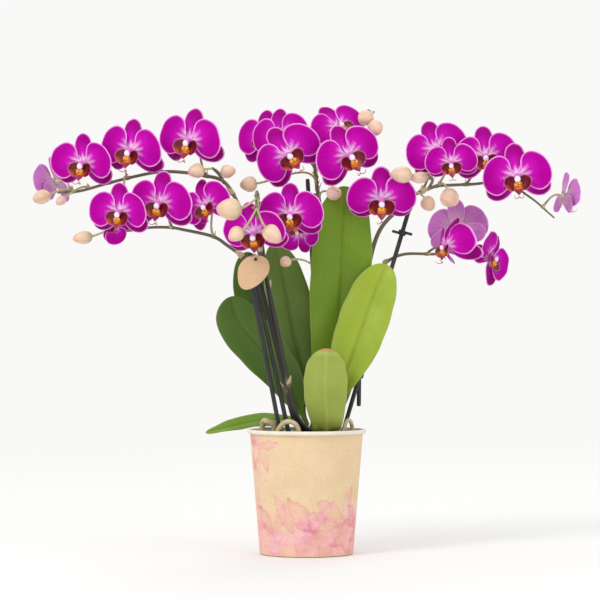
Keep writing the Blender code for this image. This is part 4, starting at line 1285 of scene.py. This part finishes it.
SIDE_BRANCHES = {
    "spike_upper_left": ([(-74, -7, 221), (-78, -12, 228), (-84, -19, 234)],
                         [((-98, -27, 231), 7.5, 6.5), ((-70, -22, 231), 6.5, 6)]),
    "spike_right": ([(110, 14, 216), (113, -8, 223), (110, -22, 226)],
                    [((100, -29, 225), 9, 5.2), ((84, -42, 227), 10, 7.5)]),
}
SPIKE_POINTS = 20
FINE_POINTS = 240
STALK_STRAIGHT = 1.5
STALK_LEAD = 7
NODE_PLACES = (0.16, 0.30, 0.42)  # the bare nodes low on a spike, as shares of its length
BRACT_RINGS = np.array([0.4, 0.75, 1.0])
DARK_SPIKES = ("spike_upper_left", "spike_lower_left")
DARK_BELOW = (*DARK_SPIKES, "spike_front")  # the spikes whose lower stem is near black


def stalk(path, end, away, count=24):
    """The same route as the CAD's stalk, in millimetres, with more points."""
    nearest = int(np.argmin(np.linalg.norm(path - end, axis=1)))
    run = 0.0
    while nearest > 1 and run < STALK_LEAD:
        run += float(np.linalg.norm(path[nearest] - path[nearest - 1]))
        nearest -= 1
    start = path[nearest]
    reach = float(np.linalg.norm(end - start))
    way = path[nearest + 1] - start if nearest + 1 < len(path) else away
    way = way / np.linalg.norm(way)
    lift = 0.25 if away[2] > -0.3 else -0.35
    first = start + (way * 0.2 + np.array((0, -0.1, lift))) * reach
    square = end + away * STALK_STRAIGHT
    points = np.vstack([bezier(start, first, end + away * reach * 0.4, square, count), end[None, :]])
    return points, nearest


def bract(shape, place, way, length, seed):
    """A small papery pointed scale that clasps a node."""
    way = Vector(way).normalized()
    out = Vector((math.sin(seed * 2.4), -0.6 + 0.5 * math.cos(seed * 1.7), 0.4))
    out = (out - way * out.dot(way)).normalized()
    lean = (way * 0.9 + out * 0.42).normalized()
    side = lean.cross(out).normalized()
    up = side.cross(lean).normalized()
    if up.dot(out) < 0:
        up = -up
    axes = np.array([tuple(side), tuple(lean), tuple(up)])
    half = length * 0.36
    right = [(half * 0.8, -0.1 * length), (half, 0.25 * length), (half * 0.6, 0.65 * length)]
    outline = [*right, (0, length), *((-a, b) for a, b in right[::-1])]
    if np.linalg.det(axes) < 0:
        outline = outline[::-1]

    def curl(a, b, rho):
        return 0.6 - 0.34 * a * a / max(half, 0.1)

    paint = plain((0.56, 0.42, 0.24))
    origin = np.array(place) + np.array(out) * 1.5
    blade(shape, outline, (0, 0.32 * length), axes, origin, curl, 0.35, paint, paint, 18, BRACT_RINGS)


def bud(shape, stems, path, centre, half_length, half_thickness, seed, count=18):
    nearest = path[int(np.argmin(np.linalg.norm(path - centre, axis=1)))]
    away = nearest - centre
    away = away / np.linalg.norm(away)
    turn = Vector(-away).to_track_quat("Z", "Y").to_matrix()
    rng = np.random.default_rng(seed + 900)
    phase = rng.uniform(0, math.tau)
    warm = rng.uniform(0, 1)

    def form(unit):
        around = np.arctan2(unit[:, 1], unit[:, 0])
        groove = 0.03 * np.exp(-(np.sin(around * 1.5 + phase) / 0.16) ** 2)
        ribs = 1 + 0.035 * np.cos(around * 3 + phase) - groove
        belly = 1 - 0.16 * unit[:, 2]
        shaped = unit.copy()
        shaped[:, 0] *= ribs * belly
        shaped[:, 1] *= ribs * belly
        shaped[:, 2] += 0.12 * step(0.5, 1.0, unit[:, 2])
        return shaped

    def paint(unit):
        cream = mix((0.78, 0.57, 0.40), (0.84, 0.56, 0.47), warm)
        colour = mix((0.42, 0.42, 0.14), cream, step(-1.0, -0.25, unit[:, 2]))
        around = np.arctan2(unit[:, 1], unit[:, 0])
        line = np.exp(-(np.sin(around * 1.5 + phase) / 0.13) ** 2)
        colour = mix(colour, (0.52, 0.34, 0.18), line * 0.4)
        return mix(colour, (0.62, 0.32, 0.28), step(0.55, 1.0, unit[:, 2]) * 0.5)

    orb(shape, centre, (half_thickness, half_thickness, half_length), turn, paint, 28, 20, form)
    points, _ = stalk(path, np.array(centre) + away * half_length * 0.6, away, count)
    share = np.linspace(0, 1, len(points))
    rope(stems, points, 1.1 - 0.15 * np.sin(share * math.pi), mix(PEDICEL, (0.50, 0.46, 0.22), share), 12)
    bract(stems, points[1], points[3] - points[0], 4.2, seed)


def flower_stalk(stems, coarse, flower, base_colour, seed):
    """The stalk from a spike to a flower's neck. Returns its joint, as a share of the spike."""
    place, facing, size = flower_place(flower)
    back = np.array(facing @ Vector((0, 1, 0)))
    end = np.array(place) / MM + back * (HUB_BACK * size + 0.6)
    route, joint = stalk(coarse, end, back)
    along = np.linspace(0, 1, len(route))
    paint = mix(base_colour, (0.55, 0.46, 0.30), step(0.0, 0.8, along))
    rope(stems, route, 1.25 - 0.28 * np.sin(along * math.pi), paint, 12)
    bract(stems, route[1], route[4] - route[0], 4.6, seed)
    return joint / (SPIKE_POINTS - 1)


def spike(name, stem, bud_skin, seed):
    (angle, height), points, (thick, thin), borne, buds = SPIKES[name]
    base = beside_crown(angle, height, thick)
    key = rows([base, *(above_rim(*p) for p in points)])
    coarse = through(key, SPIKE_POINTS)
    fine = through(key, FINE_POINTS)
    share = np.linspace(0, 1, FINE_POINTS)
    radii = thick + (thin - thick) * share
    stems, budded = Shape(), Shape()
    tall = fine[:, 2] - RIM / MM
    tone = mix((0.15, 0.17, 0.055), STEM_OLIVE, step(60, 190, tall))
    if name in DARK_BELOW:
        tone = mix(STEM_BLACK, STEM_OLIVE, step(135, 190, tall))
    joints = [flower_stalk(stems, coarse, flower, STEM_OLIVE if i % 2 else PEDICEL, seed + i)
              for i, flower in enumerate(borne)]
    for i, (centre, length, thickness) in enumerate(buds):
        bud(budded, stems, coarse, rows([above_rim(*centre)])[0], length, thickness, seed * 7 + i)
    if name in SIDE_BRANCHES:
        side_points, side_buds = SIDE_BRANCHES[name]
        side = rows([above_rim(*place) for place in side_points])
        rope(stems, through(side, 24), np.linspace(1.5, 1.1, 24), STEM_OLIVE, 12)
        for i, (centre, length, thickness) in enumerate(side_buds):
            spot = rows([above_rim(*centre)])[0]
            bud(budded, stems, through(side, 5), spot, length, thickness, seed * 7 + 50 + i)
    for i, place in enumerate(NODE_PLACES):
        k = int(place * (FINE_POINTS - 1))
        bract(stems, fine[k], fine[k + 1] - fine[k], 8.0, seed * 3 + i)
    for joint in (*joints, *NODE_PLACES):
        radii = radii + 0.45 * np.exp(-((share - joint) / 0.007) ** 2)
        tone = mix(tone, (0.30, 0.25, 0.12), np.exp(-((share - joint) / 0.004) ** 2) * 0.6)
    rope(stems, fine, radii, tone, 16)
    slot = "spike_dark" if name in DARK_SPIKES else "spike_green"
    stems.piece(f"{name}_stem", stem, slot, [name])
    if budded.count:
        budded.piece(f"{name}_buds", bud_skin, slot)


# ---------------------------------------------------------------- stage, light and camera

STUDIO = (1.0, 0.995, 0.985)
STUDIO_STRENGTH = 0.95
FLOOR_RADIUS = 60.0
FLOOR_CORNERS = 96


def light(name, place, look, size, power):
    data = bpy.data.lights.new(name, "AREA")
    data.shape = "DISK"
    data.size = size
    data.energy = power
    lamp = bpy.data.objects.new(name, data)
    lamp.location = place
    lamp.rotation_euler = (Vector(look) - Vector(place)).to_track_quat("-Z", "Y").to_euler()
    bpy.context.scene.collection.objects.link(lamp)


def stage():
    """A floor that turns into an even glow away from the pot, a bright world and three lamps."""
    mesh = bpy.data.meshes.new("floor")
    angles = [math.tau * i / FLOOR_CORNERS for i in range(FLOOR_CORNERS)]
    corners = [(FLOOR_RADIUS * math.cos(a), FLOOR_RADIUS * math.sin(a), -0.0004) for a in angles]
    mesh.from_pydata(corners, [], [tuple(range(FLOOR_CORNERS))])
    n = Skin("floor_matt", 0.9)
    n.put((0.83, 0.83, 0.83, 1.0), n.shader.inputs["Base Color"])
    glow = n.node("ShaderNodeEmission")
    n.put((*STUDIO, 1.0), glow.inputs["Color"])
    n.put(STUDIO_STRENGTH, glow.inputs["Strength"])
    share = n.range(n.length(n.place()), 0.35, 2.2)
    blend = n.feed(n.node("ShaderNodeMixShader"), share, n.shader.outputs[0], glow.outputs[0])
    n.put(blend[0], n.tree.nodes["Material Output"].inputs[0])
    mesh.materials.append(n.made)
    floor = bpy.data.objects.new("floor", mesh)
    bpy.context.scene.collection.objects.link(floor)

    world = bpy.data.worlds.new("studio")
    world.use_nodes = True
    world.node_tree.nodes["Background"].inputs[0].default_value = (*STUDIO, 1.0)
    world.node_tree.nodes["Background"].inputs[1].default_value = STUDIO_STRENGTH
    bpy.context.scene.world = world

    light("key", (-1.5, -1.9, 2.2), (0, 0, 0.28), 1.0, 30)
    light("fill", (2.0, -1.6, 1.2), (0, 0, 0.25), 1.6, 6)
    light("back", (0.6, 2.0, 1.8), (0, 0, 0.30), 1.4, 8)


def camera():
    data = bpy.data.cameras.new("camera")
    data.lens = 174.0
    data.sensor_width = 36.0
    data.clip_end = 200.0
    made = bpy.data.objects.new("camera", data)
    made.location = (-0.00585, -2.61, 0.228)
    made.rotation_euler = (math.pi / 2, 0, 0)
    bpy.context.scene.collection.objects.link(made)
    bpy.context.scene.camera = made
    bpy.context.scene.view_settings.view_transform = "Standard"


def main():
    camera()
    stage()
    pot()
    grow_pot()
    bark()
    green = leaf_material()
    crown(green)
    for seed, name in enumerate(LEAVES):
        leaf(name, green, seed + 40)
    roots()
    black = black_material()
    stakes(black)
    clips(black)
    bpy.data.objects["tag"].data.materials.clear()
    bpy.data.objects["tag"].data.materials.append(card_material())
    stem, bud_skin = stem_material(), bud_material()
    for seed, name in enumerate(SPIKES):
        spike(name, stem, bud_skin, seed)
    flowers()


main()
